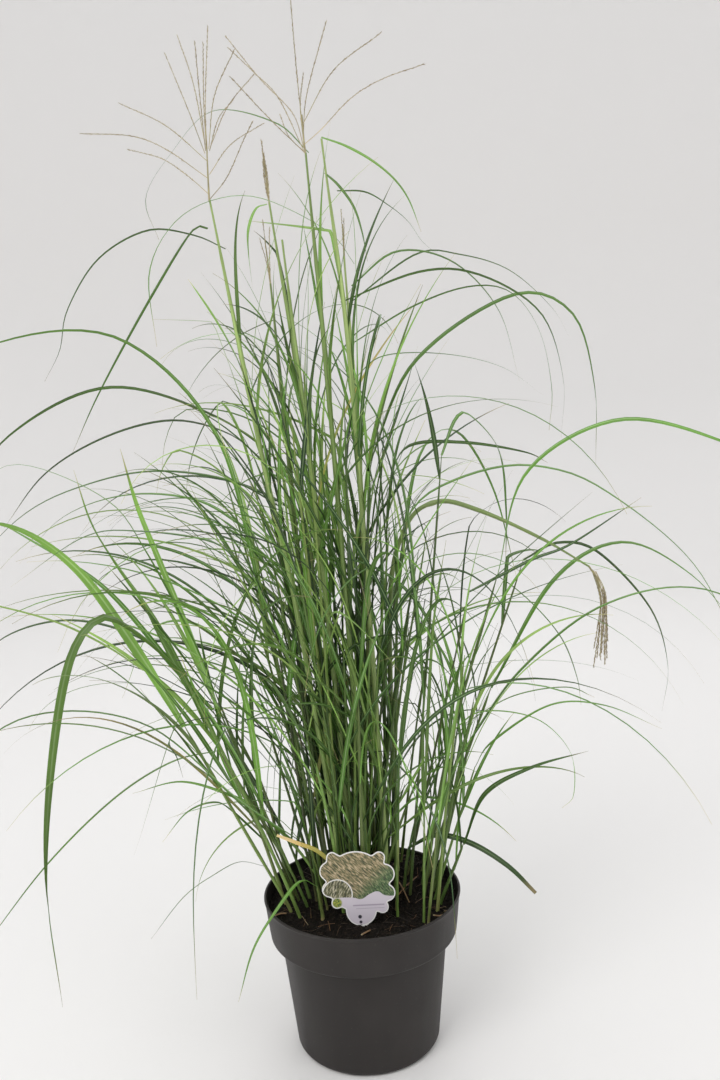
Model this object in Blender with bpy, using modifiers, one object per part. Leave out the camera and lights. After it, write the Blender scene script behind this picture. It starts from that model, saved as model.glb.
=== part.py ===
"""Potted miscanthus grass clump.

A leafy, flowering clump of ornamental grass in a round plastic nursery pot, with a
picture label pushed into the compost.  Metres, +Z up.  The origin is the middle of the
pot's flat underside; the label faces -Y.

Every shoot, culm, plume and main leaf is a solid of its own.  Stems stand just clear of
the compost and of each other, and a leaf starts just clear of the stem that carries it.
"""
import math

import bmesh
import bpy
from mathutils import Vector

# ------------------------------------------------------------------ driving dimensions
CLEARANCE = 0.0004  # between pieces that touch

POT_HEIGHT = 0.2145
POT_RIM_RADIUS = 0.134
POT_COLLAR_FOOT_RADIUS = 0.1275
POT_COLLAR_DEPTH = 0.052
POT_SHOULDER_DROP = 0.014
POT_SHOULDER_ROUNDING = 0.005
POT_CREASE = 0.001
POT_BODY_TOP_RADIUS = 0.113
POT_BODY_FOOT_RADIUS = 0.0985
POT_FOOT_ROUNDING = 0.010
POT_WALL = 0.0016
POT_FLOOR = 0.0022
POT_FACET_ALLOWANCE = 0.0004
POT_LIP = 0.0032
POT_STEPS = 40

DRAIN_HOLES = 6
DRAIN_RADIUS = 0.006
DRAIN_CIRCLE = 0.070

SOIL_TOP = 0.1955
SOIL_EDGE_DROP = 0.002
SOIL_EDGE_INSET = 0.003

LABEL_THICKNESS = 0.001
LABEL_FOOT = (-0.003, -0.070, SOIL_TOP - 0.002)
LABEL_LEAN = math.radians(9)
STAKE_WIDTH = 0.012
STAKE_DEPTH = 0.045
STAKE_MIDDLE = 0.004
STAKE_POINT = 0.010
STAKE_TOP = 0.004
STAKE_SHOULDER = 0.002
STAKE_PLAY = 0.002

STEM_FOOT = SOIL_TOP + CLEARANCE
STEM_UPRIGHT = 0.006
LEAF_GAP = 0.0008
BLADE_THICKNESS = 0.0013
BLADE_FOLD = 0.25  # how far the edges stand above the middle, as a share of half the width
BLADE_ROOT = 0.55  # width at the root and at the tip, as shares of the widest
BLADE_TIP = 0.12
BLADE_WIDEST = 0.33  # where a blade is widest, as a share of its length
BLADE_TAPER = 2.5
BLADE_STEP = 0.045
STEM_STEP = 0.085

# The label's outline is the outer edge of these overlapping discs: x, height, radius.
LABEL_DISCS = (
    (-0.0038, 0.0624, 0.0387),
    (-0.0331, 0.0933, 0.0084),
    (0.0275, 0.0909, 0.0086),
    (0.0338, 0.0696, 0.0136),
    (0.0358, 0.0453, 0.0113),
    (0.0293, 0.0274, 0.0084),
    (0.0016, 0.0244, 0.0202),
    (-0.0294, 0.0350, 0.0076),
    (-0.0383, 0.0527, 0.0103),
    (-0.0380, 0.0763, 0.0129),
)
LABEL_MIDDLE = (0.0, 0.048)
LABEL_POINTS = 72

# Leafy shoots.  Each has its foot (x, y), the points that its stem passes after the foot,
# the points of its long leaf after the stem's top, and the leaf's width.
SHOOTS = {
    "left_broad": {
        "foot": (-0.100, -0.018),
        "stem": ((-0.150, -0.022, 0.310), (-0.220, -0.030, 0.465)),
        "leaf": ((-0.270, -0.040, 0.570), (-0.330, -0.080, 0.690), (-0.395, -0.140, 0.755),
                 (-0.470, -0.185, 0.740)),
        "width": 0.013,
    },
    "left_hanging": {
        "foot": (-0.086, -0.036),
        "stem": ((-0.130, -0.042, 0.330), (-0.215, -0.050, 0.545)),
        "leaf": ((-0.262, -0.066, 0.600), (-0.302, -0.088, 0.628), (-0.340, -0.105, 0.580),
                 (-0.368, -0.125, 0.450), (-0.380, -0.145, 0.310), (-0.370, -0.160, 0.160)),
        "width": 0.010,
    },
    "left_low": {
        "foot": (-0.108, 0.004),
        "stem": ((-0.140, 0.000, 0.320), (-0.180, -0.014, 0.425)),
        "leaf": ((-0.240, -0.034, 0.420), (-0.310, -0.070, 0.388), (-0.390, -0.115, 0.322),
                 (-0.465, -0.170, 0.235)),
        "width": 0.009,
    },
    "left_edge": {
        "foot": (-0.058, -0.014),
        "stem": ((-0.064, -0.022, 0.285),),
        "leaf": ((-0.150, -0.064, 0.375), (-0.260, -0.086, 0.490), (-0.400, -0.100, 0.510),
                 (-0.520, -0.120, 0.435)),
        "width": 0.007,
    },
    "left_back": {
        "foot": (-0.104, 0.036),
        "stem": ((-0.125, 0.036, 0.330), (-0.165, 0.034, 0.440)),
        "leaf": ((-0.260, 0.050, 0.550), (-0.380, 0.080, 0.590), (-0.500, 0.120, 0.560),
                 (-0.575, 0.160, 0.480)),
        "width": 0.007,
    },
    "left_high": {
        "foot": (-0.052, 0.012),
        "stem": ((-0.075, 0.008, 0.400), (-0.110, 0.000, 0.610)),
        "leaf": ((-0.150, -0.028, 0.835), (-0.250, -0.080, 0.960), (-0.375, -0.130, 0.962),
                 (-0.465, -0.170, 0.900)),
        "width": 0.008,
    },
    "left_upper": {
        "foot": (-0.034, 0.044),
        "stem": ((-0.040, 0.042, 0.500), (-0.052, 0.034, 0.775)),
        "leaf": ((-0.160, 0.045, 0.862), (-0.310, 0.080, 0.908), (-0.460, 0.120, 0.850),
                 (-0.555, 0.150, 0.750)),
        "width": 0.007,
    },
    "pot_side": {
        "foot": (-0.054, -0.040),
        "stem": ((-0.058, -0.044, 0.242),),
        "leaf": ((-0.079, -0.066, 0.262), (-0.108, -0.094, 0.240), (-0.140, -0.108, 0.194),
                 (-0.162, -0.116, 0.128)),
        "width": 0.006,
    },
    "front_left": {
        "foot": (-0.026, -0.032),
        "stem": ((-0.034, -0.044, 0.300), (-0.050, -0.064, 0.420)),
        "leaf": ((-0.100, -0.150, 0.560), (-0.170, -0.260, 0.570), (-0.220, -0.350, 0.440)),
        "width": 0.007,
    },
    "front": {
        "foot": (0.004, -0.036),
        "stem": ((0.004, -0.046, 0.330), (0.008, -0.060, 0.500)),
        "leaf": ((0.030, -0.140, 0.675), (0.060, -0.260, 0.710), (0.090, -0.350, 0.625),
                 (0.105, -0.390, 0.500)),
        "width": 0.008,
    },
    "front_right": {
        "foot": (0.046, -0.026),
        "stem": ((0.056, -0.046, 0.400),),
        "leaf": ((0.078, -0.100, 0.560), (0.105, -0.190, 0.650), (0.135, -0.290, 0.645),
                 (0.150, -0.350, 0.580)),
        "width": 0.007,
    },
    "right_long": {
        "foot": (0.084, -0.006),
        "stem": ((0.122, -0.010, 0.400), (0.195, -0.020, 0.645)),
        "leaf": ((0.230, -0.040, 0.775), (0.335, -0.080, 0.838), (0.450, -0.120, 0.808),
                 (0.545, -0.150, 0.745)),
        "width": 0.009,
    },
    "right_spray": {
        "foot": (0.100, 0.018),
        "stem": ((0.155, 0.006, 0.415),),
        "leaf": ((0.220, -0.018, 0.515), (0.320, -0.055, 0.605), (0.430, -0.110, 0.632),
                 (0.530, -0.180, 0.570)),
        "width": 0.008,
    },
    "right_back": {
        "foot": (0.092, 0.046),
        "stem": ((0.135, 0.044, 0.330), (0.190, 0.044, 0.475)),
        "leaf": ((0.280, 0.052, 0.620), (0.380, 0.072, 0.665), (0.480, 0.090, 0.612),
                 (0.560, 0.105, 0.520)),
        "width": 0.009,
    },
    "right_pointed": {
        "foot": (0.108, -0.016),
        "stem": ((0.138, -0.030, 0.285),),
        "leaf": ((0.165, -0.048, 0.360), (0.225, -0.064, 0.400), (0.295, -0.082, 0.425)),
        "width": 0.009,
    },
    "right_drooping": {
        "foot": (0.058, 0.016),
        "stem": ((0.066, 0.016, 0.262),),
        "leaf": ((0.105, 0.004, 0.284), (0.150, -0.014, 0.278), (0.195, -0.038, 0.255),
                 (0.228, -0.058, 0.225)),
        "width": 0.008,
    },
    "right_arch": {
        "foot": (0.020, 0.052),
        "stem": ((0.022, 0.044, 0.500), (0.036, 0.030, 0.790)),
        "leaf": ((0.100, 0.028, 0.920), (0.230, 0.034, 1.000), (0.310, 0.042, 0.975),
                 (0.340, 0.050, 0.880), (0.342, 0.058, 0.775)),
        "width": 0.008,
    },
    "back_left": {
        "foot": (-0.072, 0.080),
        "stem": ((-0.130, 0.120, 0.420),),
        "leaf": ((-0.210, 0.180, 0.540), (-0.310, 0.250, 0.535), (-0.380, 0.300, 0.410)),
        "width": 0.007,
    },
    "back": {
        "foot": (-0.022, 0.094),
        "stem": ((-0.040, 0.130, 0.550),),
        "leaf": ((-0.070, 0.195, 0.735), (-0.120, 0.280, 0.775), (-0.170, 0.350, 0.680),
                 (-0.200, 0.385, 0.530)),
        "width": 0.007,
    },
    "back_right": {
        "foot": (0.044, 0.094),
        "stem": ((0.070, 0.140, 0.590),),
        "leaf": ((0.110, 0.200, 0.780), (0.175, 0.275, 0.820), (0.240, 0.335, 0.720),
                 (0.280, 0.365, 0.560)),
        "width": 0.007,
    },
}
SHOOT_FOOT_RADIUS = 0.0032
SHOOT_TOP_RADIUS = 0.0018

# Flowering culms: foot (x, y) and the points of the stem after it.
CULMS = {
    "culm_1": {"foot": (-0.022, 0.014),
               "stem": ((-0.068, 0.012, 0.600), (-0.100, 0.008, 0.800), (-0.146, 0.000, 1.130))},
    "culm_2": {"foot": (-0.010, 0.026),
               "stem": ((-0.034, 0.022, 0.700), (-0.060, 0.016, 1.080))},
    "culm_3": {"foot": (-0.008, 0.068),
               "stem": ((-0.042, 0.052, 0.800), (-0.075, 0.036, 1.130))},
    "culm_4": {"foot": (0.010, 0.010),
               "stem": ((-0.008, 0.006, 0.800), (-0.024, 0.000, 1.180))},
    "culm_5": {"foot": (0.036, 0.020),
               "stem": ((0.020, 0.018, 0.880), (-0.004, 0.018, 1.200))},
    "culm_6": {"foot": (0.028, 0.074),
               "stem": ((0.024, 0.056, 0.800), (0.017, 0.044, 1.060))},
    "culm_7": {"foot": (0.050, 0.058),
               "stem": ((0.056, 0.062, 0.580), (0.082, 0.056, 0.700), (0.125, 0.046, 0.735),
                        (0.180, 0.038, 0.722), (0.260, 0.028, 0.682), (0.322, 0.020, 0.642))},
    "culm_8": {"foot": (-0.052, 0.062),
               "stem": ((-0.066, 0.052, 0.700), (-0.080, 0.044, 1.030))},
}
CULM_FOOT_RADIUS = 0.0030
CULM_TOP_RADIUS = 0.0013

# Open plumes: the branches' tips (x, y, z), and how far down the axis each branch leaves.
PLUMES = {
    "plume_1": {
        "culm": "culm_1",
        "axis": (-0.150, 0.000, 1.215),
        "tips": ((-0.136, 0.000, 1.330, 1.0), (-0.180, 0.020, 1.327, 0.9),
                 (-0.190, -0.020, 1.285, 0.7), (-0.100, 0.015, 1.300, 0.8),
                 (-0.076, -0.020, 1.272, 0.5), (-0.070, 0.020, 1.221, 0.3),
                 (-0.252, 0.025, 1.255, 0.5), (-0.293, -0.010, 1.212, 0.3),
                 (-0.237, -0.020, 1.189, 0.1)),
    },
    "plume_2": {
        "culm": "culm_4",
        "axis": (-0.028, 0.000, 1.240),
        "tips": ((-0.034, 0.000, 1.375, 1.0), (0.009, 0.015, 1.333, 0.8),
                 (0.083, -0.015, 1.312, 0.6), (0.137, 0.010, 1.283, 0.3),
                 (-0.112, -0.010, 1.322, 0.6), (-0.110, 0.025, 1.277, 0.2)),
    },
}
AXIS_RADIUS = 0.0020
AXIS_TIP_RADIUS = 0.0014
BRANCH_RADIUS = 0.0013
BRANCH_TIP_RADIUS = 0.0006
BRANCH_LOWEST = 0.08  # where the lowest and highest branches leave, as shares of the axis
BRANCH_HIGHEST = 0.96
BRANCH_BOW = 0.10

# Closed plumes: the culm that carries each, its tip, and its widest radius.
SPIKES = {
    "plume_3": {"culm": "culm_3", "points": ((-0.079, 0.036, 1.200),), "radius": 0.0035},
    "plume_4": {"culm": "culm_8", "points": ((-0.085, 0.044, 1.105),), "radius": 0.0035},
    "plume_5": {"culm": "culm_6", "points": ((0.017, 0.044, 1.115),), "radius": 0.0030},
    "plume_6": {"culm": "culm_7",
                "points": ((0.334, 0.018, 0.615), (0.338, 0.016, 0.560), (0.334, 0.016, 0.505)),
                "radius": 0.0110},
}
SPIKE_STEP = 0.016
SPIKE_FULLNESS = 0.7
SPIKE_TIP_RADIUS = 0.0009

# Leaves borne on the culms: the points of the leaf, and its width.
CULM_LEAVES = {
    "leaf_culm_fold": {"points": ((-0.1500, -0.004, 1.095), (-0.170, -0.014, 1.090),
                                  (-0.225, -0.040, 1.005), (-0.285, -0.070, 0.900),
                                  (-0.318, -0.090, 0.830)),
                       "width": 0.008},
    "leaf_culm_right": {"points": ((0.0245, 0.022, 1.020), (0.085, 0.034, 1.062),
                                   (0.160, 0.060, 1.048), (0.222, 0.090, 0.985),
                                   (0.252, 0.120, 0.890)),
                        "width": 0.007},
}

POT_COLOUR = (0.060, 0.055, 0.052)
SOIL_COLOUR = (0.014, 0.010, 0.008)
SHOOT_COLOUR = (0.150, 0.270, 0.055)
CULM_COLOUR = (0.200, 0.300, 0.070)
LEAF_COLOUR = (0.070, 0.190, 0.035)
PLUME_COLOUR = (0.480, 0.370, 0.230)
LABEL_COLOUR = (0.720, 0.720, 0.700)


# ------------------------------------------------------------------ scene and materials
def clear_scene():
    """Remove every object that the file opened with."""
    for thing in list(bpy.data.objects):
        bpy.data.objects.remove(thing, do_unlink=True)


def new_collection(name):
    """Add a collection to the scene."""
    collection = bpy.data.collections.new(name)
    bpy.context.scene.collection.children.link(collection)
    return collection


def new_material(name, colour, roughness):
    """Make a plain Principled material."""
    material = bpy.data.materials.new(name)
    material.use_nodes = True
    shader = material.node_tree.nodes["Principled BSDF"]
    shader.inputs["Base Color"].default_value = (*colour, 1.0)
    shader.inputs["Roughness"].default_value = roughness
    shader.inputs["Metallic"].default_value = 0.0
    return material


def add_object(name, data, collection, material=None):
    """Link new object data to a collection, with its material."""
    thing = bpy.data.objects.new(name, data)
    collection.objects.link(thing)
    if material:
        data.materials.append(material)
    return thing


def mesh_from(name, bm):
    """Turn a bmesh into a mesh and free it."""
    mesh = bpy.data.meshes.new(name)
    bm.to_mesh(mesh)
    bm.free()
    return mesh


# ------------------------------------------------------------------ curves
def smooth_route(points, step):
    """Points along a smooth curve through the given ones, about one step apart."""
    knots = [Vector(p) for p in points]
    ends = [knots[0] * 2 - knots[1]] + knots + [knots[-1] * 2 - knots[-2]]
    route = []
    for i in range(1, len(ends) - 2):
        before, start, end, after = ends[i - 1:i + 3]
        pieces = max(1, round((end - start).length / step))
        for k in range(pieces):
            t = k / pieces
            route.append(0.5 * (
                2 * start
                + (end - before) * t
                + (2 * before - 5 * start + 4 * end - after) * t ** 2
                + (3 * start - before - 3 * end + after) * t ** 3
            ))
    route.append(knots[-1])
    return route


def tube(name, route, radii, collection, material, resolution=1):
    """A round stem along a route, with a radius at each point and closed ends."""
    curve = bpy.data.curves.new(name, "CURVE")
    curve.dimensions = "3D"
    curve.bevel_depth = 1.0
    curve.bevel_resolution = resolution
    curve.use_fill_caps = True
    spline = curve.splines.new("POLY")
    spline.points.add(len(route) - 1)
    for point, place, radius in zip(spline.points, route, radii):
        point.co = (*place, 1.0)
        point.radius = radius
    return add_object(name, curve, collection, material)


def tapered(count, start, end):
    """Radii that fall evenly from start to end."""
    return [start + (end - start) * k / (count - 1) for k in range(count)]


def with_foot(foot, points):
    """The points of a stem from the compost up, upright for its first few millimetres."""
    upright = [(foot[0], foot[1], STEM_FOOT + rise) for rise in (0.0, STEM_UPRIGHT)]
    return upright + list(points)


# ------------------------------------------------------------------ pot and compost
def arc(centre, radius, start, end, count):
    """Points (x, z) on an arc, from one angle in degrees to another."""
    angles = [math.radians(start + (end - start) * k / (count - 1)) for k in range(count)]
    return [(centre[0] + radius * math.cos(a), centre[1] + radius * math.sin(a)) for a in angles]


def wall_radius(z):
    """Radius of the pot's inner wall at a height between the floor and the lip."""
    shoulder_top = POT_HEIGHT - POT_COLLAR_DEPTH
    shoulder_foot = shoulder_top - POT_SHOULDER_DROP
    if z >= shoulder_top:
        share = (z - shoulder_top) / POT_COLLAR_DEPTH
        outer = POT_COLLAR_FOOT_RADIUS + (POT_RIM_RADIUS - POT_COLLAR_FOOT_RADIUS) * share
    elif z >= shoulder_foot:
        share = (z - shoulder_foot) / POT_SHOULDER_DROP
        outer = POT_BODY_TOP_RADIUS + (POT_COLLAR_FOOT_RADIUS - POT_BODY_TOP_RADIUS) * share
    else:
        share = z / shoulder_foot
        outer = POT_BODY_FOOT_RADIUS + (POT_BODY_TOP_RADIUS - POT_BODY_FOOT_RADIUS) * share
    return outer - POT_WALL - POT_FACET_ALLOWANCE


def inner_profile(offset, top):
    """The pot's inside from the middle of its floor up to a height, moved in by an offset."""
    shoulder_top = POT_HEIGHT - POT_COLLAR_DEPTH
    shoulder_foot = shoulder_top - POT_SHOULDER_DROP
    floor = POT_FLOOR + offset
    rounding = POT_FOOT_ROUNDING
    foot_centre = (wall_radius(rounding) - rounding - offset, floor + rounding)
    points = [(0.0, floor)]
    points += arc(foot_centre, rounding, -90, 0, 4)
    points += [(wall_radius(z) - offset, z) for z in (shoulder_foot, shoulder_top, top)]
    return points


def turned(name, profile, steps, collection, material):
    """A solid turned about Z from a profile that runs down its outer side."""
    mesh = bpy.data.meshes.new(name)
    edges = [(i, i + 1) for i in range(len(profile) - 1)]
    mesh.from_pydata([(x, 0.0, z) for x, z in profile], edges, [])
    thing = add_object(name, mesh, collection, material)
    screw = thing.modifiers.new("turn", "SCREW")
    screw.steps = steps
    screw.render_steps = steps
    screw.use_merge_vertices = True
    screw.merge_threshold = 0.00001
    return thing


def cut(thing, cutter, name):
    """Cut one object with another."""
    boolean = thing.modifiers.new(name, "BOOLEAN")
    boolean.operation = "DIFFERENCE"
    boolean.solver = "EXACT"
    boolean.object = cutter


def as_cutter(thing):
    """Show an object as a wire frame and keep it out of renders."""
    thing.display_type = "WIRE"
    thing.hide_render = True


def make_pot(collection, cutters, material):
    """Thin-walled pot: flared collar, sloping shoulder, tapered body, drained flat floor."""
    shoulder_top = POT_HEIGHT - POT_COLLAR_DEPTH
    shoulder_foot = shoulder_top - POT_SHOULDER_DROP
    lip = POT_LIP / 2
    profile = inner_profile(0.0, POT_HEIGHT - POT_LIP)
    profile += arc((POT_RIM_RADIUS - lip, POT_HEIGHT - lip), lip, 150, -60, 6)
    edge = POT_SHOULDER_ROUNDING
    profile += arc((POT_COLLAR_FOOT_RADIUS - edge, shoulder_top), edge, 8, -50, 4)
    profile.append((POT_BODY_TOP_RADIUS + POT_CREASE, shoulder_foot))
    profile.append((POT_BODY_TOP_RADIUS, shoulder_foot - 2 * POT_CREASE))
    foot = POT_FOOT_ROUNDING
    profile += arc((POT_BODY_FOOT_RADIUS - foot, foot), foot, 0, -90, 4)
    profile.append((0.0, 0.0))
    pot = turned("pot", profile, POT_STEPS, collection, material)

    bm = bmesh.new()
    for k in range(DRAIN_HOLES):
        angle = 2 * math.pi * (k + 0.5) / DRAIN_HOLES
        made = bmesh.ops.create_cone(
            bm, cap_ends=True, segments=10, radius1=DRAIN_RADIUS, radius2=DRAIN_RADIUS,
            depth=0.02)
        place = Vector((DRAIN_CIRCLE * math.cos(angle), DRAIN_CIRCLE * math.sin(angle), 0.0))
        bmesh.ops.translate(bm, verts=made["verts"], vec=place)
    holes = add_object("drain_holes", mesh_from("drain_holes", bm), cutters)
    as_cutter(holes)
    cut(pot, holes, "drain")


def make_soil(collection, cutters, material):
    """Root ball that fills the pot to a flat top, with a slot for the label's stake."""
    profile = inner_profile(CLEARANCE, SOIL_TOP - SOIL_EDGE_DROP)
    profile.append((wall_radius(SOIL_TOP) - CLEARANCE - SOIL_EDGE_INSET, SOIL_TOP))
    profile.append((0.0, SOIL_TOP))
    profile.reverse()
    soil = turned("soil", profile, POT_STEPS, collection, material)

    bm = bmesh.new()
    bmesh.ops.create_cube(bm, size=1.0)
    size = (STAKE_WIDTH + STAKE_PLAY, LABEL_THICKNESS + STAKE_PLAY,
            2 * (STAKE_DEPTH + 2 * STAKE_PLAY))
    bmesh.ops.scale(bm, vec=size, verts=bm.verts)
    slot = add_object("stake_slot", mesh_from("stake_slot", bm), cutters)
    slot.location = (LABEL_FOOT[0] + STAKE_MIDDLE, LABEL_FOOT[1], SOIL_TOP)
    slot.rotation_euler = (-LABEL_LEAN, 0.0, 0.0)
    as_cutter(slot)
    cut(soil, slot, "slot")


# ------------------------------------------------------------------ label
def label_edge(angle):
    """The outermost point of the label's discs in one direction from its middle."""
    way = Vector((math.cos(angle), math.sin(angle)))
    middle = Vector(LABEL_MIDDLE)
    best = 0.0
    for x, z, radius in LABEL_DISCS:
        centre = Vector((x, z)) - middle
        along = centre.dot(way)
        inside = radius ** 2 - centre.length_squared + along ** 2
        if inside > 0:
            best = max(best, along + math.sqrt(inside))
    return middle + way * best


def make_label(collection, material):
    """Scalloped picture label on a flat stake, one thin sheet, leaning back."""
    stake_left = STAKE_MIDDLE - STAKE_WIDTH / 2
    stake_right = STAKE_MIDDLE + STAKE_WIDTH / 2
    point_top = STAKE_POINT - STAKE_DEPTH
    outline = [(stake_right, point_top), (stake_right, STAKE_TOP)]
    for k in range(LABEL_POINTS):
        angle = -math.pi / 2 + 2 * math.pi * (k + 0.5) / LABEL_POINTS
        x, z = label_edge(angle)
        beside_stake = x < stake_left - STAKE_SHOULDER or x > stake_right + STAKE_SHOULDER
        if beside_stake or z > STAKE_TOP + STAKE_SHOULDER:
            outline.append((x, z))
    outline += [(stake_left, STAKE_TOP), (stake_left, point_top), (STAKE_MIDDLE, -STAKE_DEPTH)]

    curve = bpy.data.curves.new("plant_label", "CURVE")
    curve.dimensions = "2D"
    curve.fill_mode = "BOTH"
    curve.extrude = LABEL_THICKNESS / 2
    spline = curve.splines.new("POLY")
    spline.use_cyclic_u = True
    spline.points.add(len(outline) - 1)
    for point, (x, z) in zip(spline.points, outline):
        point.co = (x, z, 0.0, 1.0)
    label = add_object("plant_label", curve, collection, material)
    label.location = LABEL_FOOT
    label.rotation_euler = (math.pi / 2 - LABEL_LEAN, 0.0, 0.0)


# ------------------------------------------------------------------ stems, leaves, plumes
def blade(name, points, width, collection, material):
    """A long leaf: a thin ridged strip, widest a third of the way and drawn out to its tip."""
    route = smooth_route(points, BLADE_STEP)
    across = route[-1] - route[0]
    across.z = 0.0
    side = across.cross(Vector((0, 0, 1))).normalized()
    count = len(route)
    bm = bmesh.new()
    rings = []
    for k, place in enumerate(route):
        ahead = (route[min(k + 1, count - 1)] - route[max(k - 1, 0)]).normalized()
        edge = (side - ahead * side.dot(ahead)).normalized()
        up = edge.cross(ahead)
        share = k / (count - 1)
        rise = math.sin(0.5 * math.pi * min(share / BLADE_WIDEST, 1.0))
        swell = BLADE_ROOT + (1.0 - BLADE_ROOT) * rise
        half = 0.5 * width * swell * max(1.0 - share ** BLADE_TAPER, BLADE_TIP)
        thick = 0.5 * BLADE_THICKNESS
        fold = up * half * BLADE_FOLD
        ring = [place + edge * half + fold, place + up * thick,
                place - edge * half + fold, place - up * thick]
        rings.append([bm.verts.new(p) for p in ring])
    for low, high in zip(rings, rings[1:]):
        for j in range(4):
            bm.faces.new((low[j], low[(j + 1) % 4], high[(j + 1) % 4], high[j]))
    bm.faces.new(rings[0][::-1])
    bm.faces.new(rings[-1])
    bmesh.ops.recalc_face_normals(bm, faces=bm.faces)
    add_object(name, mesh_from(name, bm), collection, material)


def make_shoots(collection, stem_material, leaf_material):
    """Leafy shoots: a stem of rolled leaf sheaths, and the long leaf that leaves its top."""
    for name, shoot in SHOOTS.items():
        stem = smooth_route(with_foot(shoot["foot"], shoot["stem"]), STEM_STEP)
        radii = tapered(len(stem), SHOOT_FOOT_RADIUS, SHOOT_TOP_RADIUS)
        tube(f"shoot_{name}", stem, radii, collection, stem_material)
        ahead = (stem[-1] - stem[-2]).normalized()
        start = stem[-1] + ahead * (LEAF_GAP + SHOOT_TOP_RADIUS)
        blade(f"leaf_{name}", [start, *shoot["leaf"]], shoot["width"], collection, leaf_material)


def make_culms(collection, material):
    """Tall flowering stems."""
    for name, culm in CULMS.items():
        stem = smooth_route(with_foot(culm["foot"], culm["stem"]), STEM_STEP)
        radii = tapered(len(stem), CULM_FOOT_RADIUS, CULM_TOP_RADIUS)
        tube(name, stem, radii, collection, material)


def culm_top(name):
    """The top of a culm, and the way it points there."""
    stem = smooth_route(with_foot(CULMS[name]["foot"], CULMS[name]["stem"]), STEM_STEP)
    return stem[-1], (stem[-1] - stem[-2]).normalized()


def make_plumes(collection, cutters, material):
    """Open plumes: fine branches that fan out from a short axis, joined in one solid."""
    for name, plume in PLUMES.items():
        top, ahead = culm_top(plume["culm"])
        foot = top + ahead * LEAF_GAP * 2
        axis_end = Vector(plume["axis"])
        body = tube(f"{name}_axis", [foot, foot.lerp(axis_end, 0.5), axis_end],
                    [AXIS_RADIUS, AXIS_RADIUS, AXIS_TIP_RADIUS], cutters, None)
        pieces = [body]
        for k, (x, y, z, share) in enumerate(plume["tips"]):
            tip = Vector((x, y, z))
            leaves = BRANCH_LOWEST + (BRANCH_HIGHEST - BRANCH_LOWEST) * share
            root = foot.lerp(axis_end, leaves)
            bow = Vector((0.0, 0.0, BRANCH_BOW * (tip - root).length))
            bend = root.lerp(tip, 0.5) + bow
            pieces.append(tube(f"{name}_branch_{k}", [root, bend, tip],
                               [BRANCH_RADIUS, BRANCH_RADIUS, BRANCH_TIP_RADIUS], cutters,
                               None, resolution=0))
        solids = [to_solid(piece) for piece in pieces]
        main = add_object(name, solids[0], collection, material)
        for k, solid in enumerate(solids[1:]):
            branch = add_object(f"{name}_join_{k}", solid, cutters)
            as_cutter(branch)
            join = main.modifiers.new(f"join_{k}", "BOOLEAN")
            join.operation = "UNION"
            join.solver = "EXACT"
            join.object = branch


def to_solid(thing):
    """Turn a tube into a closed mesh and remove the curve."""
    graph = bpy.context.evaluated_depsgraph_get()
    graph.update()
    mesh = bpy.data.meshes.new_from_object(thing.evaluated_get(graph))
    mesh.name = thing.name
    bm = bmesh.new()
    bm.from_mesh(mesh)
    bmesh.ops.remove_doubles(bm, verts=bm.verts, dist=0.00001)
    bmesh.ops.recalc_face_normals(bm, faces=bm.faces)
    bm.to_mesh(mesh)
    bm.free()
    bpy.data.objects.remove(thing, do_unlink=True)
    return mesh


def make_spikes(collection, material):
    """Closed plumes: slim spindles at the tops of their culms."""
    for name, spike in SPIKES.items():
        top, ahead = culm_top(spike["culm"])
        route = smooth_route([top + ahead * LEAF_GAP * 2, *spike["points"]], SPIKE_STEP)
        radii = []
        for k in range(len(route)):
            bulge = math.sin(math.pi * (k / (len(route) - 1)) ** SPIKE_FULLNESS)
            radii.append(max(spike["radius"] * bulge, SPIKE_TIP_RADIUS))
        tube(name, route, radii, collection, material)


def main():
    clear_scene()
    parts = new_collection("potted_miscanthus")
    cutters = new_collection("cutters")
    make_pot(parts, cutters, new_material("pot_plastic", POT_COLOUR, 0.6))
    make_soil(parts, cutters, new_material("compost", SOIL_COLOUR, 0.95))
    make_label(parts, new_material("label_card", LABEL_COLOUR, 0.35))
    shoot_green = new_material("shoot_green", SHOOT_COLOUR, 0.5)
    leaf_green = new_material("leaf_green", LEAF_COLOUR, 0.45)
    culm_green = new_material("culm_green", CULM_COLOUR, 0.5)
    plume_tan = new_material("plume_tan", PLUME_COLOUR, 0.7)
    make_shoots(parts, shoot_green, leaf_green)
    make_culms(parts, culm_green)
    make_plumes(parts, cutters, plume_tan)
    make_spikes(parts, plume_tan)
    for name, leaf in CULM_LEAVES.items():
        blade(name, leaf["points"], leaf["width"], parts, leaf_green)


main()
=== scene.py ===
import math
import random

import bmesh
import bpy
import numpy as np
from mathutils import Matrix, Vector, noise


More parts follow.
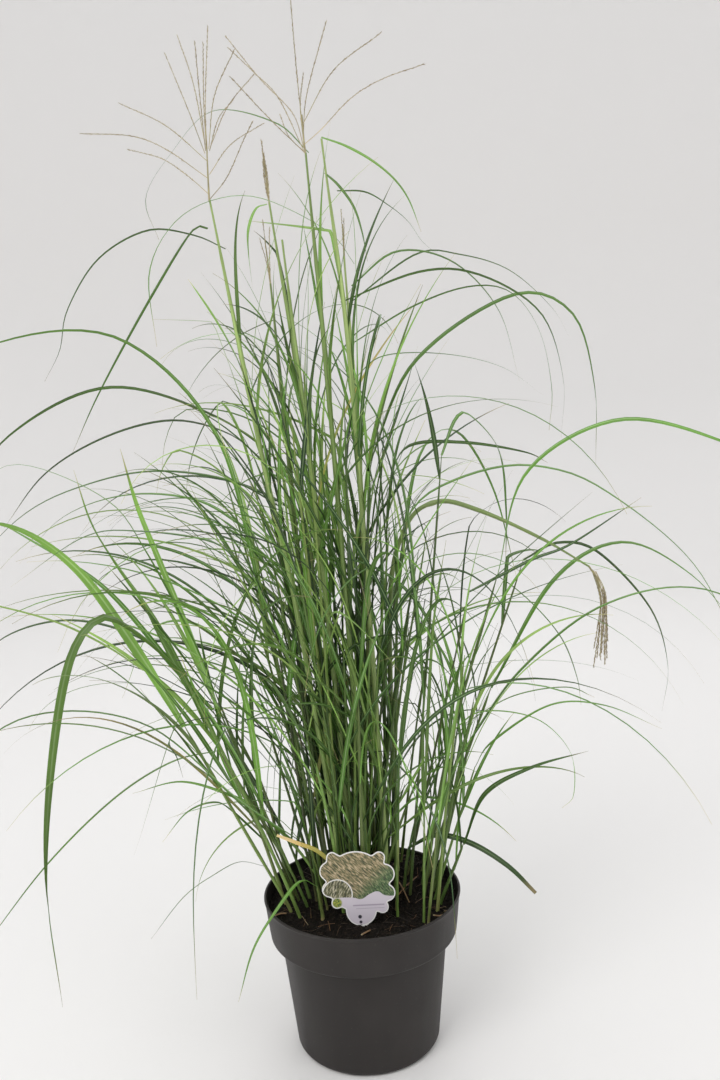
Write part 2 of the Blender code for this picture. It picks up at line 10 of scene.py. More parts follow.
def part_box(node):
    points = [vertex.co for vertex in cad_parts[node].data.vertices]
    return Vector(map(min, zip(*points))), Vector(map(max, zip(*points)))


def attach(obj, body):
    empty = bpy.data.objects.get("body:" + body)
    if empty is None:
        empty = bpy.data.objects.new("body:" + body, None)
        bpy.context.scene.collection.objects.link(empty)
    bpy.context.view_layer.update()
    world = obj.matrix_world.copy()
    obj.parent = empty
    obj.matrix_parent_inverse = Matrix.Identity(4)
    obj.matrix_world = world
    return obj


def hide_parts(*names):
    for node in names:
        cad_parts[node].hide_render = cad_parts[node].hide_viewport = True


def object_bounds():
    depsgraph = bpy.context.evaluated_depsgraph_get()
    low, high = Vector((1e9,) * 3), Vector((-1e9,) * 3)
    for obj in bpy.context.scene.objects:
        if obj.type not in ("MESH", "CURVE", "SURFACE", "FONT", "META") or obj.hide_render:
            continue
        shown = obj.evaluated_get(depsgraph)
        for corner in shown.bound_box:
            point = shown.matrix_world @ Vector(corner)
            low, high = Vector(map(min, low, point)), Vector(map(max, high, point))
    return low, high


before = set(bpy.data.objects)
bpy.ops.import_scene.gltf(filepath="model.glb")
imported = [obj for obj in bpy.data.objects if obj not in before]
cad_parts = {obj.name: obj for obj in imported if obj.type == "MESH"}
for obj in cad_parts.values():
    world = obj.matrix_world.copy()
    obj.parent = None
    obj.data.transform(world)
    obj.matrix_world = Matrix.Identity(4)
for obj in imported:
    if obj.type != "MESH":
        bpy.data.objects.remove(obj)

cadLow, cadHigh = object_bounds()
print("frame loaded,", len(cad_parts), "nodes")


# camera: eye height, looking slightly down at the middle of the clump
cameraSet = {
    "place": (0.020, -1.312, 0.886),
    "down": 8.28,       # degrees below level
    "roll": 2.75,
    "lens": 33.97,
}


def makeCamera():
    data = bpy.data.cameras.new("camera")
    data.lens = cameraSet["lens"]
    data.sensor_width = 36.0
    camera = bpy.data.objects.new("camera", data)
    bpy.context.scene.collection.objects.link(camera)
    down, roll = math.radians(cameraSet["down"]), math.radians(cameraSet["roll"])
    ahead = Vector((0.0, math.cos(down), -math.sin(down)))
    level = Vector((0.0, math.sin(down), math.cos(down)))
    side = Vector((1.0, 0.0, 0.0))
    right = side * math.cos(roll) - level * math.sin(roll)
    up = level * math.cos(roll) + side * math.sin(roll)
    turn = camera.matrix_world.to_3x3()
    for row in range(3):
        turn[row] = (right[row], up[row], -ahead[row])
    camera.rotation_mode = "QUATERNION"
    camera.rotation_quaternion = turn.to_quaternion()
    camera.location = cameraSet["place"]
    bpy.context.scene.camera = camera


makeCamera()


# small tools for materials
def newMaterial(name):
    material = bpy.data.materials.new(name)
    material.use_nodes = True
    tree = material.node_tree
    return material, tree, tree.nodes["Principled BSDF"]


def fill(tree, node, inputs):
    for key, value in inputs.items():
        socket = node.inputs[key]
        if isinstance(value, bpy.types.NodeSocket):
            tree.links.new(value, socket)
        elif socket.type == "RGBA" and len(value) == 3:
            socket.default_value = (*value, 1.0)
        else:
            socket.default_value = value


def addNode(tree, kind, inputs=None, **settings):
    node = tree.nodes.new(kind)
    for key, value in settings.items():
        setattr(node, key, value)
    fill(tree, node, inputs or {})
    return node


def result(tree, kind, inputs=None, **settings):
    return addNode(tree, kind, inputs, **settings).outputs[0]


def calc(tree, operation, first, second=0.0, third=None, clamp=False):
    inputs = {0: first, 1: second}
    if third is not None:
        inputs[2] = third
    return result(tree, "ShaderNodeMath", inputs, operation=operation, use_clamp=clamp)


def times(tree, first, second, clamp=False):
    return calc(tree, "MULTIPLY", first, second, clamp=clamp)


def mixColour(tree, factor, first, second):
    return addNode(tree, "ShaderNodeMix", {0: factor, 6: first, 7: second}, data_type="RGBA").outputs[2]


def colourRamp(tree, factor, stops):
    node = addNode(tree, "ShaderNodeValToRGB", {0: factor})
    ramp = node.color_ramp
    while len(ramp.elements) < len(stops):
        ramp.elements.new(0.5)
    for element, (place, colour) in zip(ramp.elements, stops):
        element.position = place
        element.color = (*colour, 1.0)
    return node.outputs[0]


def remap(tree, value, low, high, toLow=0.0, toHigh=1.0):
    inputs = {"Value": value, "From Min": low, "From Max": high, "To Min": toLow, "To Max": toHigh}
    return result(tree, "ShaderNodeMapRange", inputs, interpolation_type="SMOOTHSTEP")


def stretched(tree, place, scale):
    return result(tree, "ShaderNodeMapping", {"Vector": place, "Scale": scale})


def grainOn(tree, place, scale=1.0, detail=3.0, distortion=0.0):
    return result(tree, "ShaderNodeTexNoise",
                  {"Vector": place, "Scale": scale, "Detail": detail, "Distortion": distortion})


def objectNoise(tree, scale, detail=3.0, stretch=(1.0, 1.0, 1.0)):
    place = addNode(tree, "ShaderNodeTexCoord").outputs["Object"]
    return grainOn(tree, stretched(tree, place, stretch), scale, detail)


def addBump(tree, shader, height, strength, distance):
    inputs = {"Height": height, "Strength": strength, "Distance": distance}
    fill(tree, shader, {"Normal": result(tree, "ShaderNodeBump", inputs)})


# leaf, stem and plume finishes, all led by the piece's own tint and strip map
def stripInputs(tree):
    tint = addNode(tree, "ShaderNodeAttribute", attribute_name="tint").outputs["Color"]
    parts = addNode(tree, "ShaderNodeSeparateColor", {0: tint})
    strip = result(tree, "ShaderNodeUVMap", uv_map="strip")
    place = addNode(tree, "ShaderNodeSeparateXYZ", {0: strip})
    hue, dry, light = parts.outputs[0], parts.outputs[1], parts.outputs[2]
    return hue, dry, light, place.outputs[0], place.outputs[1], strip


def shaded(tree, colour, factor):
    return result(tree, "ShaderNodeVectorMath", {0: colour, 3: factor}, operation="SCALE")


leafFinish = {
    "deep": (0.027, 0.060, 0.021),
    "fresh": (0.116, 0.262, 0.034),
    "lime": (0.310, 0.450, 0.115),
    "midrib": (0.330, 0.460, 0.210),
    "straw": (0.500, 0.380, 0.190),
    "yellow": (0.560, 0.390, 0.110),
    "roughness": 0.40,
    "gloss": 0.36,
    "veins": (26.0, 3.0, 1.0),
}


def leafMaterial():
    material, tree, shader = newMaterial("leafGreen")
    hue, dry, light, across, along, strip = stripInputs(tree)
    green = colourRamp(tree, hue, [(0.0, leafFinish["deep"]), (0.5, leafFinish["fresh"]),
                                   (1.0, leafFinish["lime"])])
    veins = grainOn(tree, stretched(tree, strip, leafFinish["veins"]), detail=2.0)
    veinShade = remap(tree, veins, 0.3, 0.7, 0.84, 1.16)
    mottle = remap(tree, objectNoise(tree, 9.0), 0.3, 0.7, 0.82, 1.18)
    shade = times(tree, times(tree, veinShade, mottle), remap(tree, light, 0.0, 1.0, 0.52, 1.42))
    off = calc(tree, "ABSOLUTE", calc(tree, "SUBTRACT", across, 0.5))
    rib = times(tree, remap(tree, off, 0.12, 0.04), remap(tree, along, 0.95, 0.5, 0.0, 0.55))
    colour = mixColour(tree, rib, green, leafFinish["midrib"])
    tip = remap(tree, calc(tree, "ADD", along, times(tree, veins, 0.06)), 0.88, 1.02)
    colour = mixColour(tree, times(tree, tip, 0.7), colour, leafFinish["straw"])
    patch = calc(tree, "ADD", dry, times(tree, remap(tree, along, 0.2, 0.9), dry))
    patch = times(tree, patch, remap(tree, mottle, 0.8, 1.2, 0.6, 1.0), clamp=True)
    dead = mixColour(tree, remap(tree, along, 0.5, 0.9), leafFinish["yellow"], leafFinish["straw"])
    colour = mixColour(tree, patch, colour, dead)
    rough = leafFinish["roughness"]
    fill(tree, shader, {"Base Color": shaded(tree, colour, shade), "Specular IOR Level": leafFinish["gloss"],
                        "Roughness": remap(tree, veins, 0.2, 0.8, rough - 0.06, rough + 0.10)})
    addBump(tree, shader, veins, 0.35, 0.0003)
    return material


stemFinish = {
    # the shoot's near-black low colour also serves as painted shade for the stems deep inside the clump
    "shoot": {"low": (0.022, 0.052, 0.012), "high": (0.200, 0.330, 0.066), "dry": (0.400, 0.300, 0.150)},
    "culm": {"low": (0.165, 0.270, 0.060), "high": (0.320, 0.410, 0.150), "dry": (0.470, 0.400, 0.230)},
    "fibre": {"low": (0.018, 0.012, 0.008), "high": (0.220, 0.110, 0.045), "dry": (0.520, 0.420, 0.250)},
    "raceme": {"low": (0.260, 0.250, 0.110), "high": (0.440, 0.350, 0.200), "dry": (0.520, 0.430, 0.280)},
}


def stemMaterial(name):
    finish = stemFinish[name]
    material, tree, shader = newMaterial(name + "Stem")
    hue, dry, light, across, along, strip = stripInputs(tree)
    # hue blends the low and high colours; for the inner shoots of a bunch a low hue is painted shade
    colour = mixColour(tree, hue, finish["low"], finish["high"])
    streaks = grainOn(tree, stretched(tree, strip, (14.0, 9.0, 1.0)))
    foot = calc(tree, "MAXIMUM", remap(tree, along, 0.22, 0.02), 0.18)
    colour = mixColour(tree, times(tree, dry, foot), colour, finish["dry"])
    shade = times(tree, remap(tree, streaks, 0.3, 0.7, 0.68, 1.30), remap(tree, light, 0.0, 1.0, 0.75, 1.25))
    fill(tree, shader, {"Base Color": shaded(tree, colour, shade),
                        "Roughness": remap(tree, streaks, 0.2, 0.8, 0.38, 0.58)})
    addBump(tree, shader, streaks, 0.3, 0.0004)
    return material


plumeFinish = {"tan": (0.370, 0.305, 0.180), "brown": (0.210, 0.155, 0.090), "pale": (0.560, 0.490, 0.340)}


def plumeMaterial():
    material, tree, shader = newMaterial("plumeTan")
    fleck = objectNoise(tree, 300.0, 2.0)
    wide = objectNoise(tree, 14.0, 2.0)
    colour = colourRamp(tree, fleck, [(0.30, plumeFinish["brown"]), (0.50, plumeFinish["tan"]),
                                      (0.72, plumeFinish["pale"])])
    colour = mixColour(tree, remap(tree, wide, 0.45, 0.7, 0.0, 0.4), colour, plumeFinish["brown"])
    fill(tree, shader, {"Base Color": colour, "Roughness": remap(tree, fleck, 0.2, 0.8, 0.6, 0.85)})
    addBump(tree, shader, fleck, 0.4, 0.0005)
    return material


# pot plastic and compost
potFinish = {"colour": (0.0205, 0.0172, 0.0158), "light": (0.0305, 0.0262, 0.0242),
             "dust": (0.11, 0.10, 0.09), "roughness": 0.52, "gloss": 0.33}


def potMaterial():
    material, tree, shader = newMaterial("potPlastic")
    cloud = objectNoise(tree, 9.0, 4.0)
    streak = objectNoise(tree, 30.0, 3.0, (1.0, 1.0, 0.12))
    fine = objectNoise(tree, 1400.0, 2.0)
    blend = times(tree, remap(tree, cloud, 0.3, 0.7), remap(tree, streak, 0.3, 0.7))
    colour = mixColour(tree, blend, potFinish["colour"], potFinish["light"])
    dust = remap(tree, objectNoise(tree, 260.0, 4.0), 0.62, 0.80, 0.0, 0.25)
    rough = potFinish["roughness"]
    fill(tree, shader, {"Base Color": mixColour(tree, dust, colour, potFinish["dust"]),
                        "Roughness": remap(tree, streak, 0.2, 0.8, rough - 0.07, rough + 0.12),
                        "Specular IOR Level": potFinish["gloss"]})
    addBump(tree, shader, fine, 0.25, 0.0004)
    return material


def soilMaterial(name):
    material, tree, shader = newMaterial(name)
    grain = objectNoise(tree, 240.0, 6.0)
    colour = colourRamp(tree, grain, [(0.34, (0.004, 0.0030, 0.0022)), (0.58, (0.011, 0.0080, 0.0055)),
                                      (0.76, (0.040, 0.027, 0.017))])
    fill(tree, shader, {"Base Color": colour, "Roughness": 0.95, "Specular IOR Level": 0.2})
    addBump(tree, shader, grain, 0.9, 0.002)
    return material


# geometry nodes helpers
def newTree(name, inputs):
    tree = bpy.data.node_groups.new(name, "GeometryNodeTree")
    tree.interface.new_socket("Geometry", in_out="INPUT", socket_type="NodeSocketGeometry")
    for label, kind in inputs.items():
        tree.interface.new_socket(label, in_out="INPUT", socket_type="NodeSocket" + kind)
    tree.interface.new_socket("Geometry", in_out="OUTPUT", socket_type="NodeSocketGeometry")
    source = tree.nodes.new("NodeGroupInput")
    return tree, source


def closeTree(tree, source, mesh):
    mesh = result(tree, "GeometryNodeRealizeInstances", {"Geometry": mesh})
    inputs = {"Geometry": mesh, "Material": source.outputs["Finish"]}
    addNode(tree, "NodeGroupOutput", {0: result(tree, "GeometryNodeSetMaterial", inputs)})


def placed(name, data):
    thing = bpy.data.objects.new(name, data)
    bpy.context.scene.collection.objects.link(thing)
    return thing


def meshFrom(bm, name):
    mesh = bpy.data.meshes.new(name)
    bm.to_mesh(mesh)
    bm.free()
    return mesh


def readAttribute(tree, name, kind="FLOAT"):
    return result(tree, "GeometryNodeInputNamedAttribute", {0: name}, data_type=kind)


def keepAttribute(tree, geometry, name, value, kind="FLOAT", domain="POINT"):
    inputs = {"Geometry": geometry, "Name": name, "Value": value}
    return result(tree, "GeometryNodeStoreNamedAttribute", inputs, data_type=kind, domain=domain)


def runTree(name, mesh, tree, values):
    host = placed(name + "Host", mesh)
    modifier = host.modifiers.new("nodes", "NODES")
    modifier.node_group = tree
    for item in tree.interface.items_tree:
        if item.item_type == "SOCKET" and item.in_out == "INPUT" and item.name in values:
            modifier[item.identifier] = values[item.name]
    host.update_tag()
    return bakedMesh(host)


def bakedMesh(host):
    graph = bpy.context.evaluated_depsgraph_get()
    made = bpy.data.meshes.new_from_object(host.evaluated_get(graph))
    bpy.data.objects.remove(host, do_unlink=True)
    return made


def finishPiece(name, mesh, replaced=()):
    bm = bmesh.new()
    bm.from_mesh(mesh)
    bmesh.ops.recalc_face_normals(bm, faces=bm.faces)
    bm.to_mesh(mesh)
    bm.free()
    mesh.name = name
    piece = placed(name, mesh)
    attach(piece, "root")
    nodes = [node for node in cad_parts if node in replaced]
    if nodes:
        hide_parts(*nodes)
    triangles = sum(len(face.vertices) - 2 for face in mesh.polygons)
    print(f"{name}: {triangles} triangles")
    return piece


# routes: smooth curves through a few given places
def smoothRoute(points, count):
    knots = [Vector(p) for p in points]
    ends = [knots[0] * 2 - knots[1]] + knots + [knots[-1] * 2 - knots[-2]]
    dense = []
    for i in range(1, len(ends) - 2):
        before, start, end, after = ends[i - 1:i + 3]
        for k in range(16):
            t = k / 16
            dense.append(0.5 * (2 * start + (end - before) * t
                                + (2 * before - 5 * start + 4 * end - after) * t ** 2
                                + (3 * start - before - 3 * end + after) * t ** 3))
    dense.append(knots[-1])
    places = np.array(dense)
    steps = np.linalg.norm(np.diff(places, axis=0), axis=1)
    along = np.concatenate([[0.0], np.cumsum(steps)])
    wanted = np.linspace(0.0, along[-1], count)
    return np.stack([np.interp(wanted, along, places[:, axis]) for axis in range(3)], axis=1)


def archRoute(start, heading, lean, fall, length, late, sway, count, kink=(1.0, 0.0)):
    # a leaf that leaves at one angle from upright and bends over to another, perhaps creased once
    places = [np.array(start, float)]
    step = length / (count - 1)
    for k in range(count - 1):
        share = (k + 0.5) / (count - 1)
        crease = kink[1] * min(max((share - kink[0]) / 0.05, 0.0), 1.0)
        angle = math.radians(min(lean + (fall - lean) * share ** late + crease, 172.0))
        turn = heading + math.radians(sway) * share ** 2
        ahead = np.array([math.sin(angle) * math.cos(turn), math.sin(angle) * math.sin(turn),
                          math.cos(angle)])
        places.append(places[-1] + ahead * step)
    return np.array(places)


# strips: every leaf and stem is a profile carried along its route
def stripTree(name, round_):
    tree, source = newTree(name, {"Fold": "Float", "Thickness": "Float", "Sides": "Int",
                                  "Finish": "Material"})
    curve = result(tree, "GeometryNodeMeshToCurve", {"Mesh": source.outputs["Geometry"]})
    if not round_:
        curve = result(tree, "GeometryNodeSetCurveNormal", {"Curve": curve}, mode="Z_UP")
    curve = result(tree, "GeometryNodeSetCurveTilt", {"Curve": curve, "Tilt": readAttribute(tree, "twist")})
    if round_:
        sides = {"Resolution": source.outputs["Sides"], "Radius": 1.0}
        profile = result(tree, "GeometryNodeCurvePrimitiveCircle", sides)
    else:
        fold, low = source.outputs["Fold"], times(tree, source.outputs["Thickness"], -1.0)
        edge = result(tree, "ShaderNodeCombineXYZ", {0: -1.0, 1: fold})
        other = result(tree, "ShaderNodeCombineXYZ", {0: 1.0, 1: fold})
        keel = result(tree, "ShaderNodeCombineXYZ", {0: 0.0, 1: low})
        points = {"Point 1": edge, "Point 2": (0.0, 0.0, 0.0), "Point 3": other, "Point 4": keel}
        profile = result(tree, "GeometryNodeCurvePrimitiveQuadrilateral", points, mode="POINTS")
    across = result(tree, "ShaderNodeSeparateXYZ", {0: result(tree, "GeometryNodeInputPosition")})
    profile = keepAttribute(tree, profile, "across", calc(tree, "MULTIPLY_ADD", across, 0.5, 0.5))
    mesh = result(tree, "GeometryNodeCurveToMesh", {"Curve": curve, "Profile Curve": profile,
                                                    "Scale": readAttribute(tree, "half"), "Fill Caps": True})
    strip = result(tree, "ShaderNodeCombineXYZ", {0: readAttribute(tree, "across"),
                                                  1: readAttribute(tree, "along")})
    mesh = keepAttribute(tree, mesh, "strip", strip, "FLOAT2", "CORNER")
    closeTree(tree, source, result(tree, "GeometryNodeSetShadeSmooth", {"Geometry": mesh}))
    return tree


def hostMesh(strips):
    # one open chain of edges for each strip, with its sizes and tint on its points
    places, edges, half, twist, along, tint = [], [], [], [], [], []
    for strip in strips:
        first, count = len(places), len(strip["route"])
        places.extend(map(tuple, strip["route"]))
        edges.extend((first + k, first + k + 1) for k in range(count - 1))
        half.extend(strip["half"])
        twist.extend(strip["twist"])
        along.extend(np.linspace(0.0, 1.0, count))
        tint.extend([(*strip["tint"], 1.0)] * count)
    mesh = bpy.data.meshes.new("strips")
    mesh.from_pydata(places, edges, [])
    for name, values in (("half", half), ("twist", twist), ("along", along)):
        mesh.attributes.new(name, "FLOAT", "POINT").data.foreach_set("value", values)
    colours = mesh.attributes.new("tint", "FLOAT_COLOR", "POINT")
    colours.data.foreach_set("color", np.array(tint, float).ravel())
    return mesh


def leafStrip(route, width, tint, twist=(0.0, 0.0), blunt=False):
    count = len(route)
    share = np.linspace(0.0, 1.0, count)
    swell = 0.5 + 0.5 * np.sin(0.5 * math.pi * np.clip(share / 0.30, 0.0, 1.0))
    taper = np.maximum(1.0 - share ** 1.6, 0.0) ** 0.9
    if blunt:
        taper = 1.0 - 0.45 * share ** 3
    half = np.maximum(0.5 * width * swell * taper, 0.00018)
    turn = np.radians(twist[0] + (twist[1] - twist[0]) * share)
    return {"route": route, "half": half, "twist": turn, "tint": tint}


def stemStrip(route, radii, tint):
    return {"route": route, "half": radii, "twist": np.zeros(len(route)), "tint": tint}


bladeTree = stripTree("bladesAlongRoutes", False)
stalkTree = stripTree("stalksAlongRoutes", True)
bladeShape = {"Fold": 0.26, "Thickness": 0.10}
leafGreen = leafMaterial()
shootGreen = stemMaterial("shoot")
culmGreen = stemMaterial("culm")
fibreBrown = stemMaterial("fibre")
racemeTan = stemMaterial("raceme")
plumeTan = plumeMaterial()


# the clump, in mm: shoots as the solid ones stand, each with its foot, leaf width, tint, stem and leaf
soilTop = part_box("soil")[1][2]
shoots = {
    "left_broad": (-100, -18, 17, 0.7, [(-150, -22, 310), (-220, -30, 465)], [(-270, -40, 570),
        (-330, -80, 690), (-395, -140, 755), (-470, -185, 740)]),
    "left_hanging": (-86, -36, 14, 0.58, [(-130, -42, 330), (-215, -50, 545)], [(-262, -66, 600),
        (-302, -88, 628), (-340, -105, 580), (-368, -125, 450), (-380, -145, 310), (-370, -160, 160)]),
    "left_low": (-108, 4, 9, 0.42, [(-140, 0, 320), (-180, -14, 425)], [(-240, -34, 420), (-310, -70, 388),
        (-390, -115, 322), (-465, -170, 235)]),
    "left_edge": (-58, -14, 7, 0.2, [(-64, -22, 285)], [(-150, -64, 375), (-260, -86, 490),
        (-400, -100, 510), (-520, -120, 435)]),
    "left_back": (-104, 36, 7, 0.25, [(-125, 36, 330), (-165, 34, 440)], [(-260, 50, 550), (-380, 80, 590),
        (-500, 120, 560), (-575, 160, 480)]),
    "left_high": (-52, 12, 8, 0.45, [(-75, 8, 400), (-110, 0, 610)], [(-150, -28, 835), (-250, -80, 960),
        (-375, -130, 962), (-465, -170, 900)]),
    "left_upper": (-34, 44, 7, 0.35, [(-40, 42, 500), (-52, 34, 775)], [(-160, 45, 862), (-310, 80, 908),
        (-460, 120, 850), (-555, 150, 750)]),
    "pot_side": (-54, -40, 6, 0.4, [(-58, -44, 242)], [(-79, -66, 262), (-108, -94, 240), (-140, -108, 194),
        (-162, -116, 128)]),
    "front_left": (-26, -32, 7, 0.55, [(-34, -44, 300), (-50, -64, 420)], [(-100, -150, 560),
        (-170, -260, 570), (-220, -350, 440)]),
    "front": (4, -36, 6, 0.4, [(4, -46, 330), (8, -60, 500)], [(30, -140, 675), (60, -260, 710),
        (90, -350, 625), (105, -390, 500)]),
    "front_right": (46, -26, 6, 0.45, [(56, -46, 400)], [(78, -100, 560), (105, -190, 650),
        (135, -290, 645), (150, -350, 580)]),
    "right_long": (84, -6, 9, 0.42, [(122, -10, 400), (195, -20, 645)], [(230, -40, 775), (335, -80, 838),
        (450, -120, 808), (545, -150, 745)]),
    "right_spray": (100, 18, 7, 0.3, [(155, 6, 415)], [(220, -18, 515), (320, -55, 605), (430, -110, 632),
        (530, -180, 570)]),
    "right_back": (92, 46, 9, 0.35, [(135, 44, 330), (190, 44, 475)], [(280, 52, 620), (380, 72, 665),
        (480, 90, 612), (560, 105, 520)]),
    "right_pointed": (108, -16, 9, 0.3, [(138, -30, 285)], [(165, -48, 360), (225, -64, 400),
        (295, -82, 425)]),
    "right_drooping": (58, 16, 8, 0.25, [(66, 16, 262)], [(105, 4, 284), (150, -14, 278), (195, -38, 255),
        (228, -58, 225)]),
    "right_arch": (20, 52, 8, 0.45, [(22, 44, 500), (36, 30, 790)], [(100, 28, 920), (230, 34, 1000),
        (310, 42, 975), (340, 50, 880), (342, 58, 775)]),
    "back_left": (-72, 80, 7, 0.4, [(-130, 120, 420)], [(-210, 180, 540), (-310, 250, 535),
        (-380, 300, 410)]),
    "back": (-22, 94, 7, 0.4, [(-40, 130, 550)], [(-70, 195, 735), (-120, 280, 775), (-170, 350, 680),
        (-200, 385, 530)]),
    "back_right": (44, 94, 7, 0.4, [(70, 140, 590)], [(110, 200, 780), (175, 275, 820), (240, 335, 720),
        (280, 365, 560)]),
}

culms = {
    "culm_1": (-22, 14, [(-68, 12, 600), (-100, 8, 800), (-146, 0, 1130)]),
    "culm_2": (-10, 26, [(-34, 22, 700), (-60, 16, 1080)]),
    "culm_3": (-8, 68, [(-42, 52, 800), (-75, 36, 1130)]),
    "culm_4": (10, 10, [(-8, 6, 800), (-24, 0, 1180)]),
    "culm_5": (36, 20, [(20, 18, 880), (-4, 18, 1200)]),
    "culm_6": (28, 74, [(24, 56, 800), (17, 44, 1060)]),
    "culm_7": (50, 58, [(56, 62, 580), (82, 56, 700), (125, 46, 735), (180, 38, 722), (260, 28, 682),
        (322, 20, 642)]),
    "culm_8": (-52, 62, [(-66, 52, 700), (-80, 44, 1030)]),
}

# more long leaves, in mm: width, tint, where its own stem stands (or None), then its places
strays = [
    (6, 0.4, (-90, 10), [(-180, -20, 510), (-200, -30, 580), (-250, -40, 700), (-290, -60, 770),
        (-380, -100, 820), (-440, -120, 790)]),
    (9, 0.3, (-96, 22), [(-190, 20, 470), (-240, 30, 530), (-330, 50, 640), (-440, 80, 710),
        (-500, 100, 740)]),
    (15, 0.72, (-78, -10), [(-180, 0, 480), (-210, -10, 590), (-240, -20, 690), (-260, -30, 760),
        (-270, -50, 830)]),
    (12, 0.62, (-92, 48), [(-200, 30, 440), (-220, 30, 500), (-260, 40, 590), (-310, 50, 670),
        (-340, 50, 730), (-360, 60, 800)]),
    (4, 0.75, None, [(-270, -20, 540), (-310, -40, 580), (-360, -70, 620), (-420, -100, 650),
        (-460, -140, 670), (-520, -170, 660)]),
    (4, 0.25, None, [(-160, -50, 480), (-190, -60, 485), (-220, -70, 480), (-230, -90, 465),
        (-220, -100, 450), (-210, -120, 430)]),
    (5, 0.4, None, [(-131, 1, 302), (-140, -10, 340), (-170, -20, 365), (-230, -30, 390),
        (-290, -50, 385)]),
    (5, 0.3, None, [(-126, 2, 285), (-170, -10, 340), (-190, -30, 360), (-220, -60, 360),
        (-250, -80, 330)]),
    (4, 0.35, None, [(-128, -20, 262), (-160, -30, 275), (-190, -50, 270), (-230, -70, 250),
        (-270, -100, 210)]),
    (3, 0.35, None, [(-130, 0, 1070), (-170, 10, 1090), (-230, 20, 1100), (-300, 40, 1070),
        (-350, 60, 1010), (-370, 80, 960), (-400, 100, 920)]),
    (4, 0.2, None, [(30, 50, 1050), (0, 40, 1090), (-80, 10, 1130), (-140, 0, 1130), (-190, -20, 1100),
        (-220, -40, 1040), (-210, -80, 950)]),
    (3, 0.3, None, [(-20, 0, 1180), (-60, 10, 1220), (-140, 40, 1245), (-200, 60, 1200), (-240, 80, 1150),
        (-230, 100, 1100)]),
    (3.5, 0.4, None, [(24, 50, 950), (100, 20, 990), (170, 0, 1010), (220, -20, 1000), (250, -50, 950),
        (260, -70, 880), (250, -100, 830)]),
    (3.5, 0.35, None, [(10, 20, 1000), (110, -10, 1030), (180, -40, 1020), (250, -60, 970), (270, -90, 890),
        (260, -120, 820)]),
    (3, 0.35, None, [(20, 50, 1000), (110, 60, 1060), (170, 80, 1060), (240, 110, 1040), (300, 130, 990),
        (330, 160, 950)]),
    (3.5, 0.4, None, [(20, 20, 900), (60, 20, 930), (140, 40, 930), (220, 70, 910), (280, 100, 870)]),
    (7, 0.15, (30, 60), [(60, 50, 760), (90, 70, 810), (170, 100, 810), (260, 140, 790), (300, 180, 770)]),
    (5, 0.35, (46, 30), [(70, 20, 700), (110, 10, 750), (190, 0, 780), (260, -10, 780), (330, -30, 750),
        (430, -60, 660), (480, -100, 550)]),
    (6, 0.1, (64, 50), [(160, 0, 620), (240, -10, 660), (290, -20, 680), (370, -60, 740)]),
    (6, 0.15, (66, 6), [(130, 0, 800), (150, 10, 845), (170, 20, 850), (210, 40, 800), (220, 60, 720),
        (220, 80, 640)]),
    (5, 0.4, (100, -6), [(160, 0, 380), (180, -20, 420), (250, -60, 480), (310, -100, 490),
        (370, -140, 470)]),
    (5, 0.35, (98, 30), [(150, 30, 430), (220, 50, 460), (300, 80, 460), (350, 120, 430)]),
    (4, 0.45, (92, -18), [(130, 0, 430), (170, -10, 460), (240, -20, 450), (280, -40, 410), (280, -60, 360),
        (260, -80, 350)]),
    (3.5, 0.3, None, [(160, 40, 660), (230, 50, 610), (290, 70, 540), (320, 100, 470), (330, 120, 420)]),
    (5, 0.3, (84, 58), [(240, 50, 650), (290, 60, 670), (350, 80, 650), (430, 110, 560), (460, 130, 470),
        (460, 160, 390)]),
    (6, 0.15, (-40, 60), [(-100, 40, 800), (-150, 60, 840), (-230, 90, 860), (-330, 120, 840),
        (-430, 160, 790), (-510, 200, 710)]),
    (6, 0.1, (-46, 26), [(-80, 20, 740), (-140, 0, 780), (-230, -30, 800), (-310, -60, 790),
        (-380, -100, 760), (-450, -140, 690)]),
    (6, 0.12, (-60, 50), [(-80, 40, 680), (-130, 50, 710), (-200, 80, 750), (-300, 100, 760),
        (-400, 130, 730), (-480, 160, 660)]),
    (8, 0.08, (-64, 6), [(-100, 0, 620), (-140, -20, 680), (-170, -40, 710), (-250, -70, 730),
        (-310, -100, 730), (-390, -140, 680)]),
    (5, 0.45, None, [(-4, 18, 1202), (26, 12, 1189), (58, 4, 1168), (84, 0, 1144), (101, -4, 1117),
        (114, -8, 1078)]),
    (4, 0.5, None, [(-2, 18, 1159), (15, 10, 1141), (32, 4, 1114), (41, 0, 1082), (46, -4, 1046)]),
    (4, 0.4, None, [(12, 40, 1141), (48, 34, 1137), (77, 28, 1118), (100, 20, 1096), (117, 14, 1069),
        (137, 8, 1051)]),
    (4, 0.55, None, [(-78, 36, 1128), (-92, 30, 1122), (-102, 22, 1097), (-103, 14, 1065),
        (-100, 6, 1020)]),
    (7, 0.62, (86, -68), [(102, -68, 330), (120, -66, 430), (150, -70, 550), (195, -80, 650),
        (235, -95, 690)]),
    (6, 0.55, (80, -64), [(86, -62, 350), (96, -60, 480), (108, -62, 600), (126, -70, 700)]),
    (4, 0.55, (46, -46), [(47, -50, 270), (52, -54, 350), (66, -62, 450), (90, -78, 530)]),
]
deadLeaf = (6, [(-34, -30, 262), (-56, -32, 286), (-79, -36, 299), (-108, -40, 314)])

culmLeaves = {
    "leaf_culm_fold": (6, 0.36, [(-150, -4, 1095), (-170, -14, 1090), (-225, -40, 1005), (-285, -70, 900),
        (-318, -90, 830)]),
    "leaf_culm_right": (5, 0.3, [(24.5, 22, 1020), (85, 34, 1062), (160, 60, 1048), (222, 90, 985),
        (252, 120, 890)]),
}

